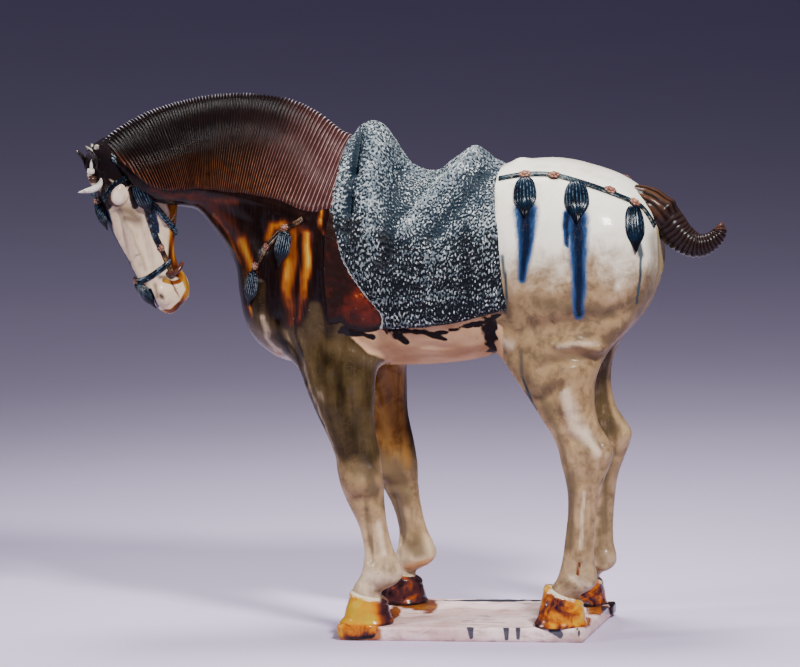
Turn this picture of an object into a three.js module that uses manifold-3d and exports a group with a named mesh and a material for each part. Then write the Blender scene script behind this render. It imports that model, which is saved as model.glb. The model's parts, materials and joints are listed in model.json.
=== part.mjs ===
// A glazed pottery tomb horse on its low base slab, fired in one piece.
// Millimetres, +Z up, head towards -X, the horse's left side towards -Y.
// The origin is the centre of the slab's underside.

import * as THREE from 'three';
import { mergeVertices } from 'three/addons/utils/BufferGeometryUtils.js';
import Module from 'manifold-3d';

const wasm = await Module();
wasm.setup();

// Driving sizes
const HORSE_HEIGHT = 642; // from the slab's top to the crest of the mane
const SLAB_THICKNESS = 18;
const SLAB_END_MARGIN = 2; // slab beyond the hooves, front and rear
const SLAB_SIDE_MARGIN = 1; // slab beyond the hooves, left and right
const SLAB_BEVEL = 1.5;
const HOOF_SINK = 2; // how far the hooves are bedded into the slab's clay
const STRAP_WIDTH = 7;
const STRAP_THICKNESS = 3;
const ROSETTE_RADIUS = 5;
const TASSEL_LENGTH = 36;
const TASSEL_RADIUS = 9;
const CLOTH_THICKNESS = 8; // the shaggy cover over the saddle
const PAD_THICKNESS = 4; // the felt pad below the cover
const MANE_FLUTES = 26;
const MANE_RELIEF = 2.4; // depth of the combed grooves
const MANE_THICKNESS = 5; // how far the mane stands off the neck
const TAIL_RIBS = 17;
const TAIL_RIB_RELIEF = 1.6;

// The stations of the horse are drawn on an animal 642 high and follow its height
const k = HORSE_HEIGHT / 642;
const DEG = Math.PI / 180;

const v3 = (x, y, z) => new THREE.Vector3(x, y, z);
const mix = (a, b, t) => a + (b - a) * t;
const clamp = (t, low, high) => Math.min(high, Math.max(low, t));
const power = (value, n) => Math.sign(value) * Math.abs(value) ** n;

// Smooth reading of a table of rows at x, its first column, with a slope through the neighbours
function read(rows, x) {
  const last = rows.length - 1;
  let i = 0;
  while (i < last - 1 && x > rows[i + 1][0]) i += 1;
  const before = rows[Math.max(i - 1, 0)];
  const start = rows[i];
  const end = rows[i + 1];
  const after = rows[Math.min(i + 2, last)];
  const span = end[0] - start[0];
  const t = clamp((x - start[0]) / span, 0, 1);
  return start.map((value, column) => {
    if (column === 0) return x;
    const slopeIn = ((end[column] - before[column]) / (end[0] - before[0])) * span;
    const slopeOut = ((after[column] - value) / (after[0] - start[0])) * span;
    const t2 = t * t;
    const t3 = t2 * t;
    return (
      (2 * t3 - 3 * t2 + 1) * value +
      (t3 - 2 * t2 + t) * slopeIn +
      (3 * t2 - 2 * t3) * end[column] +
      (t3 - t2) * slopeOut
    );
  });
}

// One closed skin through rings with the same number of points, capped at both ends
function skin(rings) {
  const sides = rings[0].length;
  const points = rings.flat();
  const faces = [];
  for (let r = 0; r < rings.length - 1; r += 1) {
    for (let i = 0; i < sides; i += 1) {
      const a = r * sides + i;
      const b = r * sides + ((i + 1) % sides);
      faces.push([a, b, b + sides], [a, b + sides, a + sides]);
    }
  }
  const cap = (first, flip) => {
    const centre = v3(0, 0, 0);
    for (let i = 0; i < sides; i += 1) centre.add(points[first + i]);
    points.push(centre.divideScalar(sides));
    for (let i = 0; i < sides; i += 1) {
      const a = first + i;
      const b = first + ((i + 1) % sides);
      faces.push(flip ? [b, a, points.length - 1] : [a, b, points.length - 1]);
    }
  };
  cap(0, true);
  cap((rings.length - 1) * sides, false);
  let volume = 0;
  for (const [a, b, c] of faces) {
    volume += points[a].dot(points[b].clone().cross(points[c]));
  }
  const geometry = new THREE.BufferGeometry();
  const position = points.flatMap((p) => [p.x, p.y, p.z]);
  geometry.setAttribute('position', new THREE.Float32BufferAttribute(position, 3));
  geometry.setIndex(faces.flatMap((f) => (volume > 0 ? f : [f[0], f[2], f[1]])));
  return geometry;
}

// A geometry as a solid that can be joined and cut
function solid(geometry) {
  const bare = geometry.clone();
  bare.deleteAttribute('normal');
  bare.deleteAttribute('uv');
  const merged = mergeVertices(bare, 1e-4);
  return new wasm.Manifold(
    new wasm.Mesh({
      numProp: 3,
      vertProperties: merged.attributes.position.array,
      triVerts: new Uint32Array(merged.index.array),
    }),
  );
}

function join(solids) {
  return solids.reduce((sum, next) => sum.add(next));
}

// Lifts drawn coordinates onto the slab at the real size
const place = (x, y, z) => v3(x * k, y * k, z * k + SLAB_THICKNESS);
const onSlab = ([x, y, z]) => place(x, y, z);

// Trunk: x, underside, back, height of the widest line, half width
const TRUNK = [
  [-277, 366, 424, 396, 34],
  [-269, 346, 452, 394, 57],
  [-255, 330, 482, 395, 74],
  [-232, 316, 520, 400, 85],
  [-195, 309, 556, 410, 91],
  [-150, 307, 574, 415, 94],
  [-95, 309, 562, 412, 98],
  [-40, 311, 541, 408, 101],
  [10, 317, 543, 412, 101],
  [55, 329, 557, 424, 99],
  [105, 332, 562, 425, 100],
  [145, 330, 556, 426, 100],
  [185, 345, 543, 434, 92],
  [212, 370, 526, 442, 77],
  [229, 400, 506, 452, 54],
  [238, 426, 484, 456, 28],
];
const TRUNK_SIDES = 20;

// A point on the trunk: x along it and an angle from the spine, positive on the left side
function onTrunk(x, angle, lift = 0) {
  const [, low, top, middle, width] = read(TRUNK, x);
  const sine = Math.sin(angle * DEG);
  const cosine = Math.cos(angle * DEG);
  const y = -(width + lift) * power(sine, 0.86);
  const reach = cosine > 0 ? top + lift - middle : middle - low + lift;
  return [x, y, middle + reach * power(cosine, 0.92)];
}

function trunk() {
  const rings = [];
  const steps = 17;
  for (let i = 0; i <= steps; i += 1) {
    const turn = Math.PI * (i / steps);
    const x = mix(-277, 238, mix(i / steps, (1 - Math.cos(turn)) / 2, 0.55));
    const ring = [];
    for (let j = 0; j < TRUNK_SIDES; j += 1) {
      ring.push(onSlab(onTrunk(x, (360 * j) / TRUNK_SIDES)));
    }
    rings.push(ring);
  }
  return solid(skin(rings));
}

// Neck: share from withers to poll, crest x, y, z, throat x, y, z, half width, turn to the left
const NECK = [
  [0.0, -132, 0, 575, -205, 0, 322, 84, 0],
  [0.12, -156, 0, 590, -250, 0, 350, 82, 0],
  [0.24, -187, -1, 615, -272, -1, 390, 76, 2],
  [0.36, -222, -3, 631, -283, -4, 425, 68, 5],
  [0.48, -262, -7, 638, -297, -9, 457, 60, 9],
  [0.6, -304, -13, 638, -316, -17, 484, 54, 14],
  [0.72, -344, -22, 632, -334, -26, 502, 50, 19],
  [0.84, -385, -35, 620, -352, -38, 508, 45, 25],
  [0.93, -418, -48, 603, -378, -44, 512, 39, 29],
  [1.0, -444, -58, 583, -404, -48, 520, 30, 32],
];

// A point on the neck: angle 0 at the crest, positive on the left side
function onNeck(share, angle, lift = 0) {
  const [, cx, cy, cz, tx, ty, tz, width, turn] = read(NECK, share);
  const crest = v3(cx, cy, cz);
  const throat = v3(tx, ty, tz);
  const up = crest.clone().sub(throat);
  const depth = up.length();
  up.normalize();
  const left = v3(Math.sin(turn * DEG), -Math.cos(turn * DEG), 0);
  const middle = throat.clone().addScaledVector(up, depth * 0.4);
  const sine = Math.sin(angle * DEG);
  const cosine = Math.cos(angle * DEG);
  const reach = cosine > 0 ? depth * 0.6 + lift : depth * 0.4 + lift;
  const swell = cosine > 0 ? 1.12 : 0.9;
  const point = middle
    .addScaledVector(left, (width + lift) * power(sine, swell))
    .addScaledVector(up, reach * power(cosine, 0.95));
  return [point.x, point.y, point.z];
}

// Mane: share along the neck, angle of its lower edge, how far it stands off
const MANE = [
  [0, 60, 0],
  [0.07, 66, 0],
  [0.09, 67, 1],
  [0.14, 69, 1],
  [0.24, 74, 1],
  [0.35, 82, 1],
  [0.47, 90, 1],
  [0.58, 100, 1],
  [0.71, 111, 1],
  [0.845, 116, 1],
  [0.93, 112, 1],
  [0.965, 96, 1],
  [1, 45, 0.6],
];

// The neck under its mane, a thick combed cover with a groove between two flutes
function neck() {
  const rings = [];
  const arc = 8;
  const below = 5;
  const count = MANE_FLUTES * 2;
  for (let i = 0; i <= count; i += 1) {
    const share = i / count;
    const [, edge, stand] = read(MANE, share);
    const lift = stand * (MANE_THICKNESS - (i % 2 ? MANE_RELIEF : 0));
    const ring = [];
    for (let j = 0; j <= arc; j += 1) {
      const rim = 1 - Math.abs((2 * j) / arc - 1) ** 6;
      ring.push(onSlab(onNeck(share, mix(-edge, edge, j / arc), lift * rim)));
    }
    for (let j = 1; j < below; j += 1) {
      ring.push(onSlab(onNeck(share, mix(edge + 3, 357 - edge, (j - 1) / (below - 2)))));
    }
    rings.push(ring);
  }
  return solid(skin(rings));
}

// Legs: height, front, back, distance from the middle plane, half width
const FORELEG = [
  [30, -143, -103, 75, 19],
  [38, -141, -107, 75, 17.5],
  [46, -138, -91, 75, 18],
  [58, -130, -78, 74.5, 20],
  [72, -126, -81, 74, 19],
  [90, -124.5, -89, 74, 16],
  [120, -131, -96, 73, 16.5],
  [150, -145, -99, 72, 21],
  [170, -152, -99, 72, 25],
  [190, -156, -101, 71, 25],
  [205, -158, -103, 70, 24],
  [237, -170, -109, 68, 27],
  [274, -188, -109, 66, 31],
  [313, -204, -107, 61, 33],
  [350, -222, -106, 54, 32],
  [410, -232, -125, 42, 30],
];
const HINDLEG = [
  [30, 98, 141, 75, 19],
  [36, 100, 140, 75, 18],
  [45, 106, 157, 75, 20],
  [55, 114, 163, 74.5, 20.5],
  [76, 121, 160, 74, 18],
  [100, 125, 160, 74, 16.5],
  [130, 129, 163, 73, 16.5],
  [160, 130, 168, 72, 18.5],
  [180, 127, 175, 71, 21],
  [200, 122, 183, 70, 24],
  [215, 119, 186, 69, 25],
  [230, 113, 178, 68, 26],
  [247, 102, 168, 67, 28],
  [279, 82, 163, 64, 34],
  [307, 62, 167, 61, 39],
  [335, 46, 180, 54, 41],
  [375, 45, 204, 46, 42],
  [430, 62, 222, 38, 40],
];
const HOOF_HEIGHT = 38;

// side is -1 for the left leg and 1 for the right, shift moves the whole leg along x
function leg(table, side, shift) {
  const rings = [];
  const sides = 10;
  const low = table[0][0];
  const high = table[table.length - 1][0];
  const levels = 14;
  for (let i = 0; i <= levels; i += 1) {
    const z = mix(low, high, (i / levels) ** 1.25);
    const [, front, back, out, half] = read(table, z);
    const ring = [];
    for (let j = 0; j < sides; j += 1) {
      const angle = (360 * j * DEG) / sides;
      const x = (front + back) / 2 + ((back - front) / 2) * power(Math.cos(angle), 0.95) + shift;
      ring.push(place(x, side * (out + half * power(Math.sin(angle), 0.95)), z));
    }
    rings.push(ring);
  }
  return solid(skin(rings));
}

// Hoof: toe and heel at the ground and at the coronet, which slopes down to the heel
function hoof(toe, heel, topToe, topHeel, side, shift, out) {
  const rings = [];
  const sides = 11;
  const levels = [
    [-HOOF_SINK / k, 0, 1],
    [4, 0.08, 1.02],
    [20, 0.5, 0.96],
    [31, 0.84, 0.82],
    [HOOF_HEIGHT, 1.02, 0.64],
  ];
  for (const [z, rise, swell] of levels) {
    const front = mix(toe, topToe, rise);
    const back = mix(heel, topHeel, rise);
    const ring = [];
    for (let j = 0; j < sides; j += 1) {
      const angle = (360 * j * DEG) / sides;
      const x = (front + back) / 2 + ((back - front) / 2) * Math.cos(angle) + shift;
      const slope = z > 3 ? -10 * rise * (0.5 + 0.5 * Math.cos(angle)) : 0;
      const wide = 27 * swell * (1 - 0.1 * Math.cos(angle));
      ring.push(place(x, side * (out + wide * Math.sin(angle)), z + slope));
    }
    rings.push(ring);
  }
  return solid(skin(rings));
}

const FORE_SHIFT = 12; // the right foreleg stands this far behind the left
const HIND_SHIFT = -4; // the right hind leg stands this far before the left
const FORE_HOOF = { toe: -153, heel: -92, topToe: -143, topHeel: -98, out: 75 };
const HIND_HOOF = { toe: 87, heel: 149, topToe: 99, topHeel: 145, out: 75 };

function legs() {
  const parts = [];
  for (const side of [-1, 1]) {
    const foreShift = side > 0 ? FORE_SHIFT : 0;
    const hindShift = side > 0 ? HIND_SHIFT : 0;
    parts.push(leg(FORELEG, side, foreShift), leg(HINDLEG, side, hindShift));
    for (const [h, shift] of [[FORE_HOOF, foreShift], [HIND_HOOF, hindShift]]) {
      parts.push(hoof(h.toe, h.heel, h.topToe, h.topHeel, side, shift, h.out));
    }
  }
  return join(parts);
}

// Head frame: the poll, the way down the face, the way the face looks, the left side
const HEAD_TURN = 32;
const HEAD_TUCK = 25.8;
const POLL = v3(-455, -62, 569);
const ahead = v3(-Math.cos(HEAD_TURN * DEG), -Math.sin(HEAD_TURN * DEG), 0);
const down = ahead.clone().multiplyScalar(-Math.sin(HEAD_TUCK * DEG));
down.z = -Math.cos(HEAD_TUCK * DEG);
const face = ahead.clone().multiplyScalar(Math.cos(HEAD_TUCK * DEG));
face.z = -Math.sin(HEAD_TUCK * DEG);
const left = v3(Math.sin(HEAD_TURN * DEG), -Math.cos(HEAD_TURN * DEG), 0);

// t runs down the head from the poll, d stands out from the face, s goes to the left
function inHead(t, d, s) {
  const p = POLL.clone().addScaledVector(down, t).addScaledVector(face, d);
  p.addScaledVector(left, s);
  return [p.x, p.y, p.z];
}

// Head: t, face line, jaw line, half width at the face, half width at the jaw
const HEAD = [
  [-13, -10, -34, 8, 12],
  [-6, 3, -46, 16, 20],
  [5, 11, -54, 22, 26],
  [20, 14, -62, 27, 29],
  [45, 15, -73, 32, 31],
  [70, 17, -76, 29, 31],
  [95, 18.5, -73, 25, 29],
  [115, 18.5, -62, 21, 25],
  [135, 18, -49, 19, 21],
  [155, 18, -39, 19, 19],
  [172, 17, -36, 21, 20],
  [188, 15, -38, 22, 21],
  [203, 11, -35, 19, 19],
  [213, 6, -25, 14, 14],
  [219, 0, -13, 7, 8],
];

function onHead(t, angle, lift = 0) {
  const [, front, back, faceWidth, jawWidth] = read(HEAD, t);
  const sine = Math.sin(angle * DEG);
  const cosine = Math.cos(angle * DEG);
  const middle = (front + back) / 2;
  const width = mix(jawWidth, faceWidth, 0.5 + 0.5 * cosine) + lift;
  const reach = (front - back) / 2 + lift;
  return inHead(t, middle + reach * power(cosine, 0.85), width * power(sine, 0.85));
}

function head() {
  const rings = [];
  const sides = 14;
  const steps = 16;
  for (let i = 0; i <= steps; i += 1) {
    const turn = Math.PI * (i / steps);
    const t = mix(-13, 219, mix(i / steps, (1 - Math.cos(turn)) / 2, 0.5));
    const ring = [];
    for (let j = 0; j < sides; j += 1) ring.push(onSlab(onHead(t, (360 * j) / sides)));
    rings.push(ring);
  }
  return solid(skin(rings));
}

// An egg-shaped bump: centre, three half axes as vectors
function bump(centre, a, b, c, around = 7, rows = 4) {
  const rings = [];
  for (let i = 1; i < rows; i += 1) {
    const lift = -Math.cos((Math.PI * i) / rows);
    const spread = Math.sin((Math.PI * i) / rows);
    const ring = [];
    for (let j = 0; j < around; j += 1) {
      const angle = (2 * Math.PI * j) / around;
      const p = centre.clone().addScaledVector(c, lift);
      p.addScaledVector(a, spread * Math.cos(angle)).addScaledVector(b, spread * Math.sin(angle));
      ring.push(onSlab([p.x, p.y, p.z]));
    }
    rings.push(ring);
  }
  return solid(skin(rings));
}

const vec = (list) => v3(...list);

// Ears, eyes, nostrils, brow, lips and the tuft between the ears
function features() {
  const parts = [];
  for (const side of [-1, 1]) {
    const rings = [];
    const base = [4, 5, 15 * side];
    for (const [along, half, deep] of [[-4, 7, 6], [4, 7.5, 6.5], [11, 6, 5], [17, 3, 2.5], [20, 0.7, 0.7]]) {
      const ring = [];
      for (let j = 0; j < 8; j += 1) {
        const angle = (2 * Math.PI * j) / 8;
        const t = base[0] - along;
        const d = base[1] - along * 0.12 + deep * Math.cos(angle);
        ring.push(onSlab(inHead(t, d, base[2] + along * 0.1 * side + half * Math.sin(angle))));
      }
      rings.push(ring);
    }
    parts.push(solid(skin(rings)));
    const eye = vec(inHead(47, -2, 29 * side));
    const axisOut = left.clone().multiplyScalar(7 * side);
    parts.push(bump(eye, down.clone().multiplyScalar(8), face.clone().multiplyScalar(6), axisOut));
    const nostril = vec(inHead(186, 5, 16 * side));
    parts.push(bump(nostril, down.clone().multiplyScalar(8), face.clone().multiplyScalar(6), axisOut));
    const lip = vec(inHead(203, -20, 12 * side));
    parts.push(bump(lip, down.clone().multiplyScalar(12), face.clone().multiplyScalar(8), axisOut));
  }
  const out = face.clone().multiplyScalar(7);
  parts.push(bump(vec(inHead(18, 15, 0)), down.clone().multiplyScalar(15), left.clone().multiplyScalar(7), out));
  parts.push(bump(vec(inHead(-9, -2, 2)), down.clone().multiplyScalar(10), left.clone().multiplyScalar(6), out));
  return join(parts);
}

// Saddle under its cover: x, height of the ridge
const SADDLE = [
  [-175, 576],
  [-149, 590],
  [-135, 600],
  [-122, 611],
  [-104, 614],
  [-92, 603],
  [-80, 577],
  [-66, 555],
  [-46, 549],
  [-25, 558],
  [-4, 574],
  [15, 582],
  [30, 574],
  [45, 565],
  [70, 566],
];
// Outline of the cover seen from the side: front edge, hem, rear edge
const COVER_FRONT = [[-143, 630], [-148, 570], [-160, 524], [-149, 477], [-135, 440], [-114, 409], [-94, 382]];
const COVER_HEM = [[-80, 362], [-42, 365], [2, 371], [33, 379], [64, 388]];
const COVER_REAR = [[59, 430], [55, 477], [53, 526], [60, 566], [62, 630]];

// A point on the cover: x and the angle from the spine
function onCover(x, angle, lift) {
  const [, ridge] = read(SADDLE, x);
  const [, , top] = read(TRUNK, x);
  const [, y, z] = onTrunk(x, angle, lift);
  const near = clamp(1 - Math.abs(angle) / 62, 0, 1);
  return [x, y * (1 - 0.12 * near), z + (ridge - top - CLOTH_THICKNESS / k) * near ** 1.3];
}

function cover() {
  const rings = [];
  const arc = 8;
  const steps = 15;
  const low = 118;
  const lift = CLOTH_THICKNESS / k;
  for (let i = 0; i <= steps; i += 1) {
    const x = mix(-168, 70, i / steps);
    const ring = [];
    for (let j = -arc; j <= arc; j += 1) ring.push(onSlab(onCover(x, (low * j) / arc, lift)));
    ring.push(onSlab(onTrunk(x, low, -12)), onSlab(onTrunk(x, -low, -12)));
    rings.push(ring);
  }
  const outline = new THREE.Shape();
  const corners = [...COVER_FRONT, ...COVER_HEM, ...COVER_REAR].map(([x, z]) => place(x, 0, z));
  outline.setFromPoints(corners.map((p) => new THREE.Vector2(p.x, p.z)));
  const wide = 300 * k;
  const prism = new THREE.ExtrudeGeometry(outline, { depth: wide, bevelEnabled: false });
  prism.translate(0, 0, -wide / 2);
  prism.rotateX(Math.PI / 2);
  return solid(skin(rings)).intersect(solid(prism));
}

// Felt pad under the cover, seen before its front edge and below its hem
const PAD = [
  [-172, 64, 66],
  [-160, 54, 96],
  [-140, 50, 110],
  [-110, 70, 114],
  [-85, 90, 108],
];

function pad() {
  const parts = [];
  for (const side of [-1, 1]) {
    const rings = [];
    for (let i = 0; i <= 5; i += 1) {
      const [x, high, low] = read(PAD, mix(-172, -85, i / 5));
      const ring = [];
      for (let j = 0; j <= 4; j += 1) {
        ring.push(onSlab(onTrunk(x, side * mix(high, low, j / 4), PAD_THICKNESS / k)));
      }
      ring.push(onSlab(onTrunk(x, side * low, -8)), onSlab(onTrunk(x, side * high, -8)));
      rings.push(ring);
    }
    parts.push(solid(skin(rings)));
  }
  return join(parts);
}

// A flat strap laid along points that each have an outward direction
function strap(points, outward, width, thickness) {
  const rings = [];
  points.forEach((p, i) => {
    const before = points[Math.max(i - 1, 0)];
    const after = points[Math.min(i + 1, points.length - 1)];
    const along = after.clone().sub(before).normalize();
    const out = outward[i].clone().addScaledVector(along, -outward[i].dot(along)).normalize();
    const side = along.clone().cross(out);
    const ring = [[-1, -1.6], [1, -1.6], [1, 0.6], [0, 1], [-1, 0.6]].map(([a, b]) =>
      p.clone().addScaledVector(side, (a * width) / 2).addScaledVector(out, b * thickness),
    );
    rings.push(ring);
  });
  return solid(skin(rings));
}

// A rosette: a low dome on the strap
function rosette(point, out) {
  const profile = [[0, -3], [1, -3], [1, 0.4], [0, 1]];
  const outline = profile.map(([r, h]) => {
    const height = h < 0 ? h : h * STRAP_THICKNESS * 1.7;
    return new THREE.Vector2(r * ROSETTE_RADIUS, height);
  });
  const dome = new THREE.LatheGeometry(outline, 6);
  dome.applyQuaternion(new THREE.Quaternion().setFromUnitVectors(v3(0, 1, 0), out));
  dome.translate(point.x, point.y, point.z);
  return solid(dome);
}

// A fluted tassel hanging from a point, pressed against the surface behind it
function tassel(point, out, hang, length, radius) {
  const side = hang.clone().cross(out).normalize();
  const rings = [];
  const profile = [[0, 0.3], [0.16, 0.9], [0.6, 1], [1, 0.35]];
  for (const [share, swell] of profile) {
    const ring = [];
    for (let j = 0; j < 8; j += 1) {
      const angle = (2 * Math.PI * j) / 8;
      const flute = j % 2 ? 0.8 : 1;
      const p = point.clone().addScaledVector(hang, share * length);
      p.addScaledVector(side, radius * swell * flute * Math.cos(angle));
      p.addScaledVector(out, radius * 0.75 * swell * flute * Math.sin(angle));
      ring.push(p);
    }
    rings.push(ring);
  }
  return solid(skin(rings));
}

// The outward direction of a surface given as a function of two numbers
function outward(surface, a, b, inside) {
  const here = vec(surface(a, b));
  const along = vec(surface(a + 1e-2, b)).sub(here);
  const across = vec(surface(a, b + 1)).sub(here);
  const normal = along.cross(across).normalize();
  return normal.dot(here.clone().sub(inside)) < 0 ? normal.negate() : normal;
}

const TRUNK_CORE = v3(0, 0, 430);
const NECK_CORE = v3(-300, -15, 540);

// Crupper straps over both haunches: x along the trunk and angle from the spine
const CRUPPER = [[50, 25], [88, 24], [120, 24.6], [150, 26.6], [180, 27], [203, 27.5], [223, 29], [235, 39]];
const CRUPPER_ROSETTES = [[88, 24], [119, 24.6], [190, 27.3], [219, 28.6]];
const CRUPPER_TASSELS = [[88, 24, 57], [152, 26.6, 59], [219, 28, 80]];

function crupper() {
  const parts = [];
  for (const side of [-1, 1]) {
    const at = (x, angle) => onSlab(onTrunk(x, side * angle));
    const out = (x, angle) => outward(onTrunk, x, side * angle, TRUNK_CORE);
    const points = CRUPPER.map(([x, angle]) => at(x, angle));
    const outs = CRUPPER.map(([x, angle]) => out(x, angle));
    parts.push(strap(points, outs, STRAP_WIDTH, STRAP_THICKNESS));
    for (const [x, angle] of CRUPPER_ROSETTES) parts.push(rosette(at(x, angle), out(x, angle)));
    for (const [x, angle, low] of CRUPPER_TASSELS) {
      const point = at(x, angle);
      const away = out(x, (angle + low) / 2);
      const hang = at(x, low).sub(point).normalize();
      const start = point.clone().addScaledVector(hang, STRAP_WIDTH / 2).addScaledVector(away, 4);
      parts.push(tassel(start, away, hang, TASSEL_LENGTH, TASSEL_RADIUS));
    }
  }
  return join(parts);
}

// Breast strap round the base of the neck: share along the neck and angle from the crest
const BREAST = [[0.13, 70], [0.168, 81], [0.207, 94], [0.231, 110], [0.25, 128], [0.285, 155]];

function breastStrap() {
  const parts = [];
  const mirrored = BREAST.map(([share, angle]) => [share, 360 - angle]).reverse();
  const route = [...BREAST, [0.295, 180], ...mirrored];
  const points = route.map(([share, angle]) => onSlab(onNeck(share, angle)));
  const outs = route.map(([share, angle]) => outward(onNeck, share, angle, NECK_CORE));
  parts.push(strap(points, outs, STRAP_WIDTH, STRAP_THICKNESS));
  const end = route.length - 1;
  for (const i of [1, 2, 4, end - 4, end - 2, end - 1]) {
    parts.push(rosette(points[i], outs[i]));
    if (i === 2 || i === end - 2) continue;
    const hang = v3(0, 0, -1);
    const start = points[i].clone().addScaledVector(hang, STRAP_WIDTH / 2);
    start.addScaledVector(outs[i], 2);
    parts.push(tassel(start, outs[i], hang, TASSEL_LENGTH * 0.9, TASSEL_RADIUS * 0.85));
  }
  return join(parts);
}

// Bridle: cheek straps, noseband, brow band, bit rings and their tassels
function bridle() {
  const parts = [];
  const band = (list) => {
    const points = list.map(([t, angle]) => onSlab(onHead(t, angle)));
    const outs = list.map(([t, angle]) => {
      const here = vec(onHead(t, angle));
      return here.sub(vec(onHead(t, angle, -6))).normalize();
    });
    parts.push(strap(points, outs, STRAP_WIDTH * 0.8, STRAP_THICKNESS * 0.7));
    return [points, outs];
  };
  const nose = [];
  for (let i = 0; i <= 6; i += 1) nose.push([163, mix(-100, 100, i / 6)]);
  band(nose);
  for (const side of [-1, 1]) {
    const cheek = [[10, 60], [36, 88], [85, 90], [135, 96], [162, 99]];
    const [points, outs] = band(cheek.map(([t, angle]) => [t, angle * side]));
    parts.push(rosette(points[1], outs[1]), rosette(points[3], outs[3]));
    const start = points[1].clone().addScaledVector(outs[1], 4);
    parts.push(tassel(start, outs[1], down.clone(), TASSEL_LENGTH * 0.95, TASSEL_RADIUS * 0.95));
    const ring = vec(onHead(166, 99 * side));
    const tall = down.clone().multiplyScalar(8);
    parts.push(bump(ring, tall, face.clone().multiplyScalar(5), left.clone().multiplyScalar(3 * side)));
  }
  const low = onSlab(onHead(166, 8));
  parts.push(rosette(onSlab(onHead(161, 8)), face.clone()));
  parts.push(tassel(low, face.clone(), down.clone(), TASSEL_LENGTH * 0.9, TASSEL_RADIUS));
  const brow = onSlab(onHead(50, 4));
  parts.push(rosette(brow, face.clone()));
  parts.push(tassel(brow, face.clone(), down.clone(), TASSEL_LENGTH * 0.85, TASSEL_RADIUS * 0.7));
  return join(parts);
}

// Tail: share of its length, x, y, z, radius
const TAIL = [
  [0, 206, 0, 511, 17],
  [0.12, 224, 0, 503, 19],
  [0.25, 243, 0, 487, 17],
  [0.4, 262, 0, 466, 14.5],
  [0.55, 281, 0, 454, 13],
  [0.7, 299, 0, 457, 11.5],
  [0.85, 311, 0, 470, 9.5],
  [1, 309, 0, 480, 6.5],
];

function tail() {
  const rings = [];
  const count = TAIL_RIBS * 2;
  for (let i = 0; i <= count; i += 1) {
    const share = i / count;
    const [, x, y, z, radius] = read(TAIL, share);
    const [, x2, , z2] = read(TAIL, Math.min(share + 0.02, 1));
    const [, x1, , z1] = read(TAIL, Math.max(share - 0.02, 0));
    const along = v3(x2 - x1, 0, z2 - z1).normalize();
    const up = v3(0, 1, 0).cross(along);
    const reach = radius - (i % 2 ? TAIL_RIB_RELIEF : 0);
    const ring = [];
    for (let j = 0; j < 6; j += 1) {
      const angle = (2 * Math.PI * j) / 6;
      const rise = up.clone().multiplyScalar(reach * Math.sin(angle));
      ring.push(place(x + rise.x, y + reach * 0.9 * Math.cos(angle), z + rise.z));
    }
    rings.push(ring);
  }
  return solid(skin(rings));
}

// The slab carries all four hooves with a small margin round them
function slab() {
  const front = FORE_HOOF.toe * k - SLAB_END_MARGIN;
  const back = HIND_HOOF.heel * k + SLAB_END_MARGIN;
  const half = (FORE_HOOF.out + 27) * k + SLAB_SIDE_MARGIN;
  const b = SLAB_BEVEL;
  const ring = (inset, z) => [
    v3(front + inset, -half + inset, z),
    v3(back - inset, -half + inset, z),
    v3(back - inset, half - inset, z),
    v3(front + inset, half - inset, z),
  ];
  const rings = [ring(0, 0), ring(0, SLAB_THICKNESS - b), ring(b, SLAB_THICKNESS)];
  return solid(skin(rings));
}

function geometryOf(manifold) {
  const mesh = manifold.getMesh();
  const geometry = new THREE.BufferGeometry();
  geometry.setAttribute('position', new THREE.BufferAttribute(mesh.vertProperties, 3));
  geometry.setIndex(new THREE.BufferAttribute(mesh.triVerts, 1));
  return geometry;
}

const horse = join([
  trunk(), neck(), legs(), head(), features(), pad(), cover(),
  crupper(), breastStrap(), bridle(), tail(), slab(),
]);

const glaze = new THREE.MeshStandardMaterial({ color: 0xcdb48c, roughness: 0.35, metalness: 0 });
const mesh = new THREE.Mesh(geometryOf(horse), glaze);
mesh.name = 'horse';

const group = new THREE.Group();
group.add(mesh);
export default group;
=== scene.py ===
import itertools
import json
import math
import bpy
import numpy as np
import openvdb
from mathutils import Matrix, Vector
from mathutils.bvhtree import BVHTree

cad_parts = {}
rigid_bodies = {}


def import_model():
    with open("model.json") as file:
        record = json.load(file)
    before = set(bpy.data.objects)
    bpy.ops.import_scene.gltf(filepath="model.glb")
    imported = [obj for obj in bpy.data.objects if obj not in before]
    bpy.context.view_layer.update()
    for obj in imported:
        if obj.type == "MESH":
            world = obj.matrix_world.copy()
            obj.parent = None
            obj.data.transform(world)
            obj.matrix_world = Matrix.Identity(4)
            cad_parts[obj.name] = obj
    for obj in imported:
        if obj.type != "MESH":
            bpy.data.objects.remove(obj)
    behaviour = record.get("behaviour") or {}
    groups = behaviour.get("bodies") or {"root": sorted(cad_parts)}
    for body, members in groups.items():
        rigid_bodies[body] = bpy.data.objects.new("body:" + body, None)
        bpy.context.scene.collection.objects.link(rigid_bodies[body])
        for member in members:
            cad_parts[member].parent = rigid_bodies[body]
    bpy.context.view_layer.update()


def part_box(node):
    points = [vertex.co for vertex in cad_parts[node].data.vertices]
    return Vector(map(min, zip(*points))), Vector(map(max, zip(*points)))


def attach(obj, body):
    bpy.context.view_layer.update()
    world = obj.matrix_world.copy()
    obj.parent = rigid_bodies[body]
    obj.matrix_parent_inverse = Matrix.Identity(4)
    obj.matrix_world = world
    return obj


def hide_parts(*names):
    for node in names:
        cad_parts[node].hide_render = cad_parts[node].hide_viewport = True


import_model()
bpy.ops.object.select_all(action="DESELECT")
print("frame loaded")

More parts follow.
